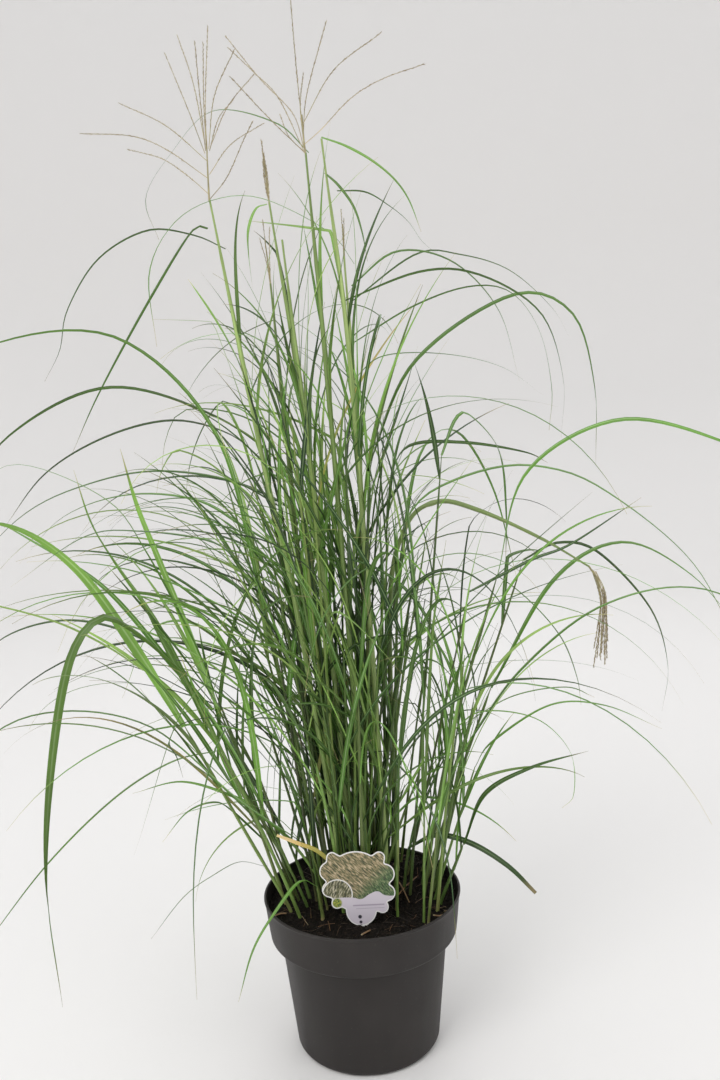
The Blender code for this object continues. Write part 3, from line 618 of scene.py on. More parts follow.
# stem radii, and how many places a random leaf's route has
shapes = {
    "stations": 26,
    "shootFoot": 0.0023, "shootTop": 0.0015,
    "strayFoot": 0.0019, "farLeftFoot": 0.0014, "strayTop": 0.0011,
    "bunchFoot": (0.0013, 0.0027), "bunchTop": 0.0010,
    "culmFoot": 0.0037, "culmNeck": 0.0027, "culmTop": 0.0013,
    "node": 0.0005, "sheath": 0.0004,
}


def metres(points):
    return [tuple(value / 1000 for value in point) for point in points]


def footed(x, y, points):
    return [(x, y, soilTop - 0.006), (x, y, soilTop + 0.006)] + list(points)


def planted(x, y, points, count):
    return smoothRoute(footed(x / 1000, y / 1000, metres(points)), count)


def randomTint(rng, hue, dry=0.0):
    return (min(max(hue + rng.uniform(-0.12, 0.12), 0.0), 1.0), dry, rng.random())


def sheathed(count, foot, top, nodes, offset=0.0):
    # radii of a stem wrapped in sheaths that each swell at a joint and end in a step
    share = np.linspace(0.0, 1.0, count)
    radii = foot + (top - foot) * share
    place = (share * nodes + offset) % 1.0
    radii += shapes["sheath"] * np.clip(1.0 - place * 1.15, 0.0, 1.0)
    radii += shapes["node"] * np.exp(-((place + 0.5) % 1.0 - 0.5) ** 2 / 0.0006)
    return radii * np.clip((1.02 - share) / 0.10, 0.35, 1.0)


leafGroups = {name: [] for name in ("left", "right", "front", "back", "culms")}
shootStrips, culmStrips = [], []
# each main leaf's turn about its own length at its foot and tip, in degrees
broadTwist = {"left_broad": (62, 40), "left_hanging": (-15, -108), "left_low": (30, 62),
              "left_high": (20, 50), "right_long": (25, 70), "right_pointed": (55, 40),
              "right_drooping": (35, 60), "right_arch": (25, 80), "right_spray": (30, 20),
              "right_back": (20, 40)}


def addShoots(rng):
    stems = []
    for name, (x, y, width, hue, stem, leaf) in shoots.items():
        route = planted(x, y, stem, 40)
        radii = sheathed(40, shapes["shootFoot"], shapes["shootTop"], 2.4, rng.random())
        shootStrips.append(stemStrip(route, radii, randomTint(rng, hue, rng.random() ** 2)))
        full = smoothRoute([tuple(route[-1]), *metres(leaf)], 36)
        side = name.split("_")[0]
        group = side if side in leafGroups else "left"
        twist = broadTwist.get(name, (rng.uniform(-30, 30), rng.uniform(-90, 90)))
        leafGroups[group].append(leafStrip(full, width * 0.001, randomTint(rng, hue), twist,
                                           blunt=name == "right_drooping"))
        stems.append((route, side, hue))
    for width, hue, foot, leaf in strays:
        side = "left" if leaf[-1][0] < 0 else "right"
        if foot:
            route = planted(*foot, leaf[:1], 24)
            thick = shapes["farLeftFoot"] if foot[0] < -70 else shapes["strayFoot"]
            radii = sheathed(24, thick, shapes["strayTop"], 1.6, rng.random())
            shootStrips.append(stemStrip(route, radii, randomTint(rng, hue, rng.random() ** 2)))
            stems.append((route, side, hue))
        full = smoothRoute(metres(leaf), 34)
        turn = rng.choice((-1, 1)) * rng.uniform(25, 60)
        leafGroups[side].append(leafStrip(full, width * 0.001, randomTint(rng, hue),
                                          (turn, turn + rng.uniform(-40, 40))))
    width, leaf = deadLeaf
    leafGroups["left"].append(leafStrip(smoothRoute(metres(leaf), 20), width * 0.001, (0.5, 0.75, 0.9),
                                        (75, 100), blunt=True))
    return stems


def addCulms():
    stems = []
    rng = random.Random(11)
    for name, (x, y, stem) in culms.items():
        route = planted(x, y, stem, 110)
        radii = sheathed(110, shapes["culmFoot"], shapes["culmNeck"], 6.0, rng.random())
        fade = np.clip((np.linspace(0.0, 1.0, 110) - 0.80) / 0.20, 0.0, 1.0)
        radii = radii * (1.0 - fade) + shapes["culmTop"] * fade
        culmStrips.append(stemStrip(route, radii, (rng.uniform(0.2, 0.9), 0.0, rng.random())))
        stems.append((name, route))
    return stems


# the many other shoots and leaves, seeded; lean and spread are in degrees
bunches = {
    "centre": {"middle": (-0.012, 0.044), "reach": (0.046, 0.042), "shoots": 50, "tall": (0.26, 0.70),
               "spread": 8, "wander": 5, "drift": 0, "leaves": 4, "low": 0.14, "length": 0.58,
               "width": 0.0056, "lean": (2, 26), "fall": (14, 158), "hue": (-0.15, 0.92), "leftward": 0.80},
    "left": {"middle": (-0.088, -0.004), "reach": (0.024, 0.036), "shoots": 2, "tall": (0.16, 0.34),
             "spread": 8, "wander": 5, "drift": -25, "leaves": 4, "low": 0.45, "length": 0.40,
             "width": 0.0080, "lean": (2, 12), "fall": (20, 120), "hue": (0.25, 0.80), "leftward": 0.80},
    "right": {"middle": (0.098, 0.002), "reach": (0.018, 0.050), "shoots": 4, "tall": (0.20, 0.42),
              "spread": 8, "wander": 5, "drift": 12, "leaves": 3, "low": 0.50, "length": 0.31,
              "width": 0.0058, "lean": (2, 10), "fall": (15, 110), "hue": (0.30, 0.85), "leftward": 0.60},
    "back": {"middle": (0.010, 0.092), "reach": (0.060, 0.016), "shoots": 8, "tall": (0.25, 0.50),
             "spread": 12, "wander": 4, "drift": 0, "leaves": 3, "low": 0.40, "length": 0.48,
             "width": 0.0042, "lean": (6, 24), "fall": (80, 158), "hue": (0.05, 0.55), "leftward": 0.55},
    "low": {"middle": (-0.020, 0.000), "reach": (0.060, 0.022), "shoots": 11, "tall": (0.06, 0.20),
            "spread": 14, "wander": 9, "drift": 0, "leaves": 3, "low": 0.45, "length": 0.27,
            "width": 0.0058, "lean": (4, 34), "fall": (40, 140), "hue": (0.10, 0.85), "leftward": 0.55},
}
room = {
    "low": (cadLow.x, cadLow.y, 0.050),
    "high": (cadHigh.x, cadHigh.y, 1.29),
    "potRadius": 0.152,
    "potTop": 0.240,
    "dome": 1.06,
    "domeFall": 0.90,
}


def fits(route, above=0.0):
    # true if a leaf stays in the clump's box, off the pot and off the label's face
    low, high = route.min(axis=0), route.max(axis=0)
    if (low < np.array(room["low"])).any() or (high > np.array(room["high"])).any():
        return False
    outer = route[4:]
    radius = np.hypot(outer[:, 0], outer[:, 1])
    if (outer[:, 2] > room["dome"] + above - room["domeFall"] * np.maximum(radius - 0.03, 0.0)).any():
        return False
    if ((radius < room["potRadius"]) & (outer[:, 2] < room["potTop"])).any():
        return False
    ahead = (outer[:, 1] < -0.035) & (np.abs(outer[:, 0]) < 0.075) & (outer[:, 2] < 0.36)
    return not ahead.any()


def sideOf(heading):
    across, ahead = math.cos(heading), math.sin(heading)
    if abs(across) > 0.55:
        return "left" if across < 0 else "right"
    return "back" if ahead > 0 else "front"


def growLeaf(rng, start, heading, lean, length, width, hue, group, fall, above, late=(0.7, 2.4), tries=14):
    kink = (rng.uniform(0.25, 0.8), rng.uniform(25, 75)) if rng.random() < 0.08 else (1.0, 0.0)
    bend = rng.random() ** 1.1
    length *= 0.50 + 0.68 * bend
    for attempt in range(tries):
        route = archRoute(start, heading + rng.uniform(-0.25, 0.25), lean + rng.uniform(-4, 6),
                          fall[0] + (fall[1] - fall[0]) * bend, length * rng.uniform(0.88, 1.12),
                          rng.uniform(*late), rng.uniform(-40, 40), shapes["stations"], kink)
        if fits(route, above):
            tint = randomTint(rng, hue, 0.5 if rng.random() < 0.004 else 0.0)
            turn = rng.uniform(-55, 55)
            leafGroups[group].append(leafStrip(route, width, tint, (turn, turn + rng.uniform(-110, 110))))
            return
        length *= 0.94


def headingOf(rng, leftward):
    toLeft = rng.random() < leftward
    return (math.pi if toLeft else 0.0) + rng.gauss(0.0, 0.80)


def dressStem(rng, route, count, low, bunch):
    # leaves up a stem, the longest in its middle; each leaves close to the stem's own line
    for k in range(count):
        share = low + (1.0 - low) * (k + rng.uniform(0.1, 0.95)) / count
        at = min(int(share * (len(route) - 1)), len(route) - 2)
        ahead = route[at + 1] - route[at]
        way = headingOf(rng, bunch["leftward"])
        upright = math.degrees(math.atan2(np.hypot(ahead[0], ahead[1]), ahead[2]))
        facing = math.cos(way - math.atan2(ahead[1], ahead[0]))
        lean = max(rng.uniform(*bunch["lean"]) + upright * facing, 1.0)
        hue = rng.uniform(*bunch["hue"])
        growLeaf(rng, route[at], way, lean, bunch["length"] * rng.uniform(0.80, 1.15),
                 bunch["width"] * rng.uniform(0.55, 1.30), hue, sideOf(way), bunch["fall"],
                 bunch.get("above", 0.0))


def fillBunch(rng, bunch):
    golden = math.pi * (3.0 - math.sqrt(5.0))
    for k in range(bunch["shoots"]):
        reach = math.sqrt((k + 0.5) / bunch["shoots"])
        angle = k * golden
        out = (reach * math.cos(angle), reach * math.sin(angle))
        x = bunch["middle"][0] + bunch["reach"][0] * out[0] + rng.uniform(-0.007, 0.007)
        y = bunch["middle"][1] + bunch["reach"][1] * out[1] + rng.uniform(-0.007, 0.007)
        tall = rng.uniform(*bunch["tall"])
        slopeX = math.tan(math.radians(bunch["drift"] * rng.uniform(0.75, 1.25) + bunch["spread"] * out[0]
                                       + rng.uniform(-1, 1) * bunch["wander"]))
        slopeY = math.tan(math.radians(bunch["spread"] * out[1] + rng.uniform(-1, 1) * bunch["wander"]))
        top = (x + slopeX * tall, y + slopeY * tall, soilTop + tall)
        middle = (x + 0.42 * slopeX * tall, y + 0.42 * slopeY * tall, soilTop + 0.5 * tall)
        route = smoothRoute(footed(x, y, [middle, top]), 30)
        radii = sheathed(30, rng.uniform(*shapes["bunchFoot"]), shapes["bunchTop"], 2.2, rng.random())
        # painted shade: stems nearer the middle of the bunch get a lower hue, towards the near-black low
        # colour, for the shade inside the clump
        hue = rng.uniform(0.0, 1.0) * (0.2 + 0.8 * reach ** 2)
        shootStrips.append(stemStrip(route, radii, randomTint(rng, hue, rng.random() ** 3)))
        dressStem(rng, route, bunch["leaves"], bunch["low"], bunch)


culmDress = {
    "long": {"leaves": 5, "length": 0.46, "width": 0.0040, "lean": (6, 30), "fall": (80, 155),
             "hue": (0.10, 0.60), "leftward": 0.56, "above": 0.07},
    "upright": {"leaves": 11, "length": 0.34, "width": 0.0060, "lean": (0, 8), "fall": (3, 60),
                "hue": (0.25, 1.00), "leftward": 0.5, "above": 0.16},
}


def fillClump(stems, culmRoutes):
    rng = random.Random(5)
    for bunch in bunches.values():
        fillBunch(rng, bunch)
    for route, side, hue in stems:
        bunch = bunches.get(side, bunches["centre"])
        dressStem(rng, route, 2, 0.45, {**bunch, "hue": (hue - 0.15, hue + 0.15)})
    for name, route in culmRoutes:
        if name == "culm_7":
            dressStem(rng, route[:60], 3, 0.4, culmDress["long"])
            continue
        dressStem(rng, route[:96], culmDress["long"]["leaves"], 0.40, culmDress["long"])
        dressStem(rng, route[:92], culmDress["upright"]["leaves"], 0.50, culmDress["upright"])


stems = addShoots(random.Random(3))
culmRoutes = addCulms()
fillClump(stems, culmRoutes)
for name, (width, hue, leaf) in culmLeaves.items():
    leafGroups["culms"].append(leafStrip(smoothRoute(metres(leaf), 32), width * 0.001, (hue, 0.0, 0.5),
                                         (35, 70)))

leafNodes = {
    "left": ("leaf_left", "leaf_pot_side"),
    "right": ("leaf_right",),
    "front": ("leaf_front",),
    "back": ("leaf_back",),
    "culms": ("leaf_culm",),
}


def nodesNamed(start):
    return [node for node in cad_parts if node.startswith(start)]


for group, strips in leafGroups.items():
    mesh = runTree(group, hostMesh(strips), bladeTree, {**bladeShape, "Finish": leafGreen})
    finishPiece("leaves_" + group, mesh, nodesNamed(leafNodes[group]))
    mesh.set_sharp_from_angle(angle=math.radians(60))
    print("  ", len(strips), "leaves")

mesh = runTree("shoots", hostMesh(shootStrips), stalkTree, {"Sides": 8, "Finish": shootGreen})
finishPiece("shoots", mesh, nodesNamed("shoot_"))
mesh = runTree("culms", hostMesh(culmStrips), stalkTree, {"Sides": 10, "Finish": culmGreen})
finishPiece("culms", mesh, nodesNamed("culm_"))


# plumes, in mm: fine branches beaded with spikelets that carry short hairs
plumes = {
    "plume_1": {
        "axis": [(-146.5, 0, 1128), (-146, 0, 1160), (-145, 0, 1200)],
        "branches": [
            [(-145, 0, 1185), (-144, 2, 1240), (-135, 4, 1332)],
            [(-146, 1, 1190), (-146, 6, 1245), (-143, 12, 1314)],
            [(-147, 0, 1188), (-149, -4, 1250), (-150, -10, 1310)],
            [(-148, 0, 1185), (-162, -10, 1230), (-185, -20, 1296)],
            [(-147, 0, 1195), (-158, 12, 1270), (-175, 22, 1330)],
            [(-143, 0, 1190), (-131, -6, 1250), (-104, -10, 1299)],
            [(-142, 0, 1188), (-130, 12, 1228), (-112, 24, 1252)],
            [(-141, 0, 1192), (-117, 6, 1240), (-83, 10, 1277)],
            [(-146, 0, 1176), (-195, 10, 1222), (-252, 22, 1254)],
            [(-147, 0, 1156), (-195, -6, 1191), (-235, -10, 1207), (-293, -12, 1212)],
            [(-147, 0, 1137), (-170, -8, 1158), (-199, -14, 1178), (-237, -20, 1189)],
            [(-144, 0, 1160), (-117, 10, 1196), (-76, 18, 1221)],
            [(-146, 0, 1130), (-122, -10, 1153), (-99, -18, 1192), (-86, -22, 1213)],
        ],
    },
    "plume_2": {
        "axis": [(-24, 0, 1178), (-25.5, 0, 1195), (-26, 0, 1225)],
        "branches": [
            [(-26, 0, 1186), (-37, -2, 1226), (-74, -4, 1267), (-112, -8, 1316)],
            [(-26, 0, 1182), (-54, 6, 1247), (-82, 10, 1279), (-112, 14, 1310)],
            [(-25, 0, 1180), (-67, 10, 1225), (-112, 22, 1278)],
            [(-26, 0, 1205), (-30, 0, 1280), (-33, 0, 1372)],
            [(-26, 0, 1200), (-19, 6, 1250), (8, 14, 1333)],
            [(-25, 0, 1215), (15, -8, 1272), (72, -14, 1309)],
            [(-25, 0, 1190), (-3, 4, 1208), (35, 6, 1243), (74, 8, 1264), (124, 10, 1279)],
            [(-26, 0, 1196), (-28, 10, 1237), (-23, 20, 1276)],
            [(-24, 0, 1180), (-43, -8, 1198), (-52, -14, 1222)],
        ],
    },
    "plume_3": {
        "size": 1.3,
        "axis": [(-75, 36, 1128), (-77, 36, 1160), (-79, 36, 1190)],
        "branches": [
            [(-75, 36, 1132), (-78, 37, 1165), (-80, 36, 1202)],
            [(-75, 36, 1128), (-75, 34, 1158), (-78, 35, 1186)],
            [(-75, 36, 1128), (-79, 36, 1156), (-80, 37, 1180)],
            [(-75, 36, 1126), (-77, 39, 1150), (-77, 38, 1172)],
        ],
    },
    "plume_4": {
        "axis": [(-80, 44, 1028), (-82, 44, 1060), (-84, 44, 1085)],
        "branches": [
            [(-80, 44, 1032), (-83, 44, 1070), (-85, 44, 1107)],
            [(-80, 44, 1030), (-79, 42, 1066), (-77, 42, 1098)],
            [(-80, 44, 1030), (-84, 46, 1058), (-90, 47, 1084)],
        ],
    },
    "plume_5": {
        "axis": [(17, 44, 1058), (17, 44, 1080), (17, 44, 1100)],
        "branches": [
            [(17, 44, 1060), (16.5, 44, 1088), (16, 44, 1116)],
            [(17, 44, 1058), (18, 45, 1082), (19, 44, 1104)],
        ],
    },
    "plume_6": {
        "size": 1.25,
        "axis": [(322, 20, 642), (333, 19, 622), (337, 18, 590)],
        "branches": [
            [(326, 20, 638), (337, 18, 602), (334, 18, 560), (326, 17, 508)],
            [(326, 20, 636), (336, 19, 598), (333, 21, 562), (328, 22, 532)],
            [(328, 20, 634), (339, 17, 602), (338, 15, 562), (334, 14, 526)],
            [(328, 20, 636), (341, 18, 606), (343, 18, 566), (344, 19, 520)],
            [(330, 20, 635), (342, 17, 608), (342, 15, 566), (340, 14, 512)],
            [(330, 20, 632), (340, 21, 602), (340, 22, 562), (338, 23, 526)],
            [(329, 20, 634), (339, 18, 604), (337, 17, 562), (335, 17, 519)],
            [(331, 20, 634), (341, 19, 604), (341, 20, 560), (341, 21, 524)],
            [(327, 20, 636), (337, 21, 600), (335, 19, 560), (331, 18, 522)],
            [(331, 20, 635), (343, 20, 606), (345, 21, 572), (346, 22, 541)],
        ],
    },
}
spikelet = {"length": 0.0040, "radius": 0.00042, "spacing": 0.0018, "hair": 0.0054, "hairRadius": 0.00009,
            "splay": 9.0, "spread": 0.055}


def spikeletMesh():
    # one slim spikelet with three hairs that start at its foot
    bm = bmesh.new()

    def ring(count, radius, height):
        spots = [2 * math.pi * k / count for k in range(count)]
        return [bm.verts.new((radius * math.cos(a), radius * math.sin(a), height)) for a in spots]

    widths = ((0.0, 0.25), (0.35, 1.0), (0.75, 0.7), (1.0, 0.12))
    rings = [ring(5, spikelet["radius"] * width, spikelet["length"] * share) for share, width in widths]
    for low, high in zip(rings, rings[1:]):
        for k in range(5):
            bm.faces.new((low[k], low[(k + 1) % 5], high[(k + 1) % 5], high[k]))
    bm.faces.new(rings[0][::-1])
    bm.faces.new(rings[-1])
    reach = spikelet["hair"] * 0.22
    for turn in (0.3, 2.4, 4.5):
        tip = bm.verts.new((reach * math.cos(turn), reach * math.sin(turn), spikelet["hair"]))
        foot = ring(3, spikelet["hairRadius"], 0.0004)
        for k in range(3):
            bm.faces.new((foot[k], foot[(k + 1) % 3], tip))
        bm.faces.new(foot[::-1])
    return meshFrom(bm, "spikelet")


def spikeletTree():
    tree, source = newTree("spikeletsAlongBranches", {"Spacing": "Float", "Splay": "Float", "Seed": "Int",
                                                      "Size": "Float", "Spikelet": "Object",
                                                      "Finish": "Material"})
    sizes = source.outputs
    curve = result(tree, "GeometryNodeMeshToCurve", {"Mesh": sizes["Geometry"]})
    beads = addNode(tree, "GeometryNodeCurveToPoints", {"Curve": curve, "Length": sizes["Spacing"]},
                    mode="LENGTH")
    turn = calc(tree, "MULTIPLY_ADD", result(tree, "GeometryNodeInputIndex"), 2.4, sizes["Seed"])
    aim = result(tree, "FunctionNodeAlignRotationToVector", {"Vector": beads.outputs["Tangent"]}, axis="Z")
    for angles in ({2: turn}, {0: sizes["Splay"]}):
        step = result(tree, "ShaderNodeCombineXYZ", angles)
        aim = result(tree, "FunctionNodeRotateRotation", {0: aim, 1: step}, rotation_space="LOCAL")
    part = addNode(tree, "GeometryNodeObjectInfo", {"Object": sizes["Spikelet"]})
    size = addNode(tree, "FunctionNodeRandomValue", {2: 0.7, 3: 1.25, 8: sizes["Seed"]},
                   data_type="FLOAT").outputs[1]
    made = result(tree, "GeometryNodeInstanceOnPoints",
                  {"Points": beads.outputs["Points"], "Instance": part.outputs["Geometry"],
                   "Rotation": aim, "Scale": times(tree, size, sizes["Size"])})
    closeTree(tree, source, made)
    return tree


def makePlumes():
    beadTree = spikeletTree()
    part = placed("spikelet", spikeletMesh())
    eye = np.array(cameraSet["place"])
    for seed, (name, plume) in enumerate(plumes.items()):
        rng = random.Random(40 + seed)
        closed = name in ("plume_3", "plume_4", "plume_5")
        axis = smoothRoute(metres(plume["axis"]), 10)
        green = (0.3, 0.0 if name == "plume_6" else 0.6, 0.5)
        strips = [stemStrip(axis, np.linspace(shapes["culmTop"], 0.0007, 10), green)]
        beaded = []
        for route in plume["branches"]:
            path = smoothRoute(metres(route), 26)
            if not closed and name != "plume_6":
                deep = rng.choice((-1, 1)) * rng.uniform(0.25, 1.0) * spikelet["spread"]
                path = eye + (path - eye) * (1.0 + deep * np.linspace(0.0, 1.0, 26) ** 1.3)[:, None]
            strips.append(stemStrip(path, np.linspace(0.00055, 0.00022, 26),
                                    (rng.random(), rng.uniform(0.2, 0.8), rng.random())))
            beaded.append(stemStrip(path[2:] if closed else path[5:], np.zeros(24 if closed else 21),
                                    (0.5, 0.5, 0.5)))
        stalks = runTree(name, hostMesh(strips), stalkTree, {"Sides": 5, "Finish": racemeTan})
        beads = runTree(name + "Beads", hostMesh(beaded), beadTree,
                        {"Spacing": spikelet["spacing"], "Splay": math.radians(spikelet["splay"]),
                         "Seed": seed, "Size": plume.get("size", 1.0), "Spikelet": part, "Finish": plumeTan})
        finishPiece(name, stalks, [name])
        finishPiece(name + "_spikelets", beads)
    bpy.data.objects.remove(part, do_unlink=True)


makePlumes()


# pot: thin wall turned from one profile, with a rolled lip and drain holes
pot = {
    "height": 0.2145, "rim": 0.134, "collarFoot": 0.1275, "collar": 0.052, "shoulder": 0.014,
    "bodyTop": 0.113, "bodyFoot": 0.0985, "foot": 0.010, "wall": 0.0017, "lip": 0.0036,
    "edge": 0.006, "floor": 0.0022, "steps": 144, "holes": 6, "holeRadius": 0.006, "holeCircle": 0.070,
}


def arc(x, z, radius, start, end, count):
    angles = [math.radians(start + (end - start) * k / (count - 1)) for k in range(count)]
    return [(x + radius * math.cos(a), z + radius * math.sin(a)) for a in angles]


def outerWall():
    # the pot's outside, from under its rolled lip down to the foot
    collarFoot = pot["height"] - pot["collar"]
    shoulderFoot = collarFoot - pot["shoulder"]
    lip, edge = pot["lip"] / 2, pot["edge"]
    profile = arc(pot["rim"] - lip, pot["height"] - lip, lip, 165, -50, 12)
    under = pot["height"] - pot["lip"] - 0.0006
    profile.append((pot["rim"] - 0.0011, under))
    for k in range(1, 9):
        share = k / 9
        profile.append((pot["rim"] - 0.0011 + (pot["collarFoot"] - pot["rim"] + 0.0016) * share,
                        under + (collarFoot + edge * 0.4 - under) * share))
    profile += arc(pot["collarFoot"] - edge, collarFoot, edge, 6, -58, 7)
    profile += arc(pot["bodyTop"] + 0.0035, shoulderFoot + 0.0020, 0.0035, 122, 182, 5)
    for k in range(1, 11):
        share = k / 11
        profile.append((pot["bodyTop"] + (pot["bodyFoot"] - pot["bodyTop"]) * share,
                        shoulderFoot * (1 - share) + pot["foot"] * share))
    profile += arc(pot["bodyFoot"] - pot["foot"], pot["foot"], pot["foot"], 0, -80, 8)
    profile += [(pot["bodyFoot"] - pot["foot"] - 0.004, 0.0), (pot["bodyFoot"] - pot["foot"] - 0.009, 0.0012),
                (0.0, 0.0012)]
    return profile


def innerWall():
    # the pot's inside, from the middle of its floor up to the lip
    collarFoot = pot["height"] - pot["collar"]
    shoulderFoot = collarFoot - pot["shoulder"]
    wall = pot["wall"]
    rows = [(pot["bodyFoot"] - wall - pot["foot"] * 0.4, pot["floor"] + 0.0012),
            (pot["bodyFoot"] - wall + 0.0006, pot["foot"]),
            (pot["bodyTop"] - wall, shoulderFoot - 0.001),
            (pot["collarFoot"] - wall - 0.003, collarFoot - 0.002),
            (pot["collarFoot"] - wall, collarFoot + 0.005),
            (pot["rim"] - wall - 0.0012, pot["height"] - pot["lip"])]
    return [(0.0, pot["floor"])] + rows


def turned(name, profile, steps, merge):
    mesh = bpy.data.meshes.new(name)
    mesh.from_pydata([(x, 0.0, z) for x, z in profile], [(i, i + 1) for i in range(len(profile) - 1)], [])
    host = placed(name, mesh)
    screw = host.modifiers.new("turn", "SCREW")
    screw.steps = screw.render_steps = steps
    screw.use_merge_vertices = True
    screw.merge_threshold = merge
    return host


def drill():
    bm = bmesh.new()
    for k in range(pot["holes"]):
        angle = 2 * math.pi * (k + 0.5) / pot["holes"]
        made = bmesh.ops.create_cone(bm, cap_ends=True, segments=24, radius1=pot["holeRadius"],
                                     radius2=pot["holeRadius"], depth=0.02)
        place = Vector((pot["holeCircle"] * math.cos(angle), pot["holeCircle"] * math.sin(angle), 0.0))
        bmesh.ops.translate(bm, verts=made["verts"], vec=place)
    return placed("holes", meshFrom(bm, "holes"))


def makePot():
    host = turned("pot", innerWall() + outerWall(), pot["steps"], 0.00001)
    cutter = drill()
    boolean = host.modifiers.new("drain", "BOOLEAN")
    boolean.solver = "EXACT"
    boolean.object = cutter
    bpy.context.view_layer.update()
    mesh = bakedMesh(host)
    bpy.data.objects.remove(cutter, do_unlink=True)
    mesh.materials.clear()
    mesh.materials.append(potMaterial())
    mesh.shade_smooth()
    finishPiece("pot", mesh, ["pot"])
    mesh.set_sharp_from_angle(angle=math.radians(50))


makePot()


# compost: a rough fill that heaps up behind the stems
compost = {"rings": 56, "turns": 168, "gap": 0.0004, "heap": 0.017, "rough": 0.0042}


def compostHeight(x, y):
    place = Vector((x, y, 0.0))
    heap = math.exp(-((x - 0.070) ** 2 + (y - 0.085) ** 2) / 0.0032) + 0.45 * math.exp(
        -((x + 0.045) ** 2 + (y - 0.080) ** 2) / 0.0045)
    heap += 0.20 * math.exp(-(x ** 2 + (y + 0.066) ** 2) / 0.0009)
    lumps = noise.fractal(place * 42.0, 1.0, 2.0, 4) * compost["rough"]
    grit = noise.fractal(place * 190.0, 1.0, 2.0, 3) * compost["rough"] * 0.55
    return soilTop - 0.0015 + compost["heap"] * heap + lumps + grit


def makeCompost():
    bm = bmesh.new()
    wall = innerWall()[1:]
    rimRadius = float(np.interp(soilTop, [z for x, z in wall], [x for x, z in wall])) - compost["gap"]
    turns, rings = compost["turns"], compost["rings"]
    middle = bm.verts.new((0.0, 0.0, compostHeight(0.0, 0.0)))
    rows = []
    for i in range(1, rings + 1):
        radius = rimRadius * i / rings
        row = []
        for k in range(turns):
            angle = 2 * math.pi * k / turns
            x, y = radius * math.cos(angle), radius * math.sin(angle)
            row.append(bm.verts.new((x, y, min(compostHeight(x, y), pot["height"] - 0.002
                                               if i == rings else 1.0))))
        rows.append(row)
    for x, z in reversed([row for row in wall if row[1] < soilTop - 0.012]):
        rows.append([bm.verts.new(((x - compost["gap"]) * math.cos(2 * math.pi * k / turns),
                                   (x - compost["gap"]) * math.sin(2 * math.pi * k / turns),
                                   z + compost["gap"])) for k in range(turns)])
    base = bm.verts.new((0.0, 0.0, pot["floor"] + compost["gap"]))
    for k in range(turns):
        bm.faces.new((middle, rows[0][k], rows[0][(k + 1) % turns]))
        bm.faces.new((base, rows[-1][(k + 1) % turns], rows[-1][k]))
    for inner, outer in zip(rows, rows[1:]):
        for k in range(turns):
            bm.faces.new((inner[k], outer[k], outer[(k + 1) % turns], inner[(k + 1) % turns]))
    mesh = meshFrom(bm, "compost")
    mesh.materials.append(soilMaterial("compostDark"))
    mesh.shade_smooth()
    return finishPiece("compost", mesh, ["soil"])


def crumbTree():
    tree, source = newTree("crumbsOnTop", {"Density": "Float", "Seed": "Int", "Finish": "Material"})
    up = addNode(tree, "ShaderNodeSeparateXYZ", {0: result(tree, "GeometryNodeInputNormal")}).outputs[2]
    level = addNode(tree, "ShaderNodeSeparateXYZ", {0: result(tree, "GeometryNodeInputPosition")}).outputs[2]
    top = times(tree, calc(tree, "GREATER_THAN", up, 0.2), calc(tree, "GREATER_THAN", level, soilTop - 0.02))
    points = result(tree, "GeometryNodeDistributePointsOnFaces",
                    {"Mesh": source.outputs["Geometry"], "Selection": top,
                     "Density": source.outputs["Density"], "Seed": source.outputs["Seed"]})
    crumb = result(tree, "GeometryNodeMeshIcoSphere", {"Radius": 0.001, "Subdivisions": 1})
    turn = result(tree, "FunctionNodeRandomValue", {1: (6.28, 6.28, 6.28), 8: 3}, data_type="FLOAT_VECTOR")
    size = result(tree, "FunctionNodeRandomValue", {0: (0.5, 0.5, 0.4), 1: (2.3, 2.0, 1.5), 8: 9},
                  data_type="FLOAT_VECTOR")
    inputs = {"Points": points, "Instance": crumb, "Rotation": turn, "Scale": size}
    closeTree(tree, source, result(tree, "GeometryNodeInstanceOnPoints", inputs))
    return tree


fibres = {"count": 170, "length": (0.008, 0.028), "radius": (0.00016, 0.00042), "reach": 0.122}
sticks = [
    (0.0009, (0.9, 0.0), [(0.046, -0.006, 0.201), (0.060, 0.016, 0.205), (0.077, 0.037, 0.208)]),
    (0.0008, (1.0, 0.7), [(0.046, 0.042, 0.208), (0.055, 0.013, 0.206), (0.063, -0.019, 0.200)]),
    (0.0010, (1.0, 1.0), [(-0.120, -0.038, 0.199), (-0.111, -0.033, 0.200), (-0.103, -0.029, 0.198)]),
    (0.0010, (1.0, 1.0), [(0.093, -0.054, 0.199), (0.101, -0.060, 0.201), (0.112, -0.058, 0.203)]),
    (0.0011, (1.0, 0.9), [(-0.003, -0.090, 0.196), (0.003, -0.087, 0.1975), (0.009, -0.081, 0.197)]),
    (0.0012, (0.5, 0.0), [(-0.030, -0.010, 0.204), (-0.010, 0.004, 0.207), (0.012, 0.008, 0.206)]),
]


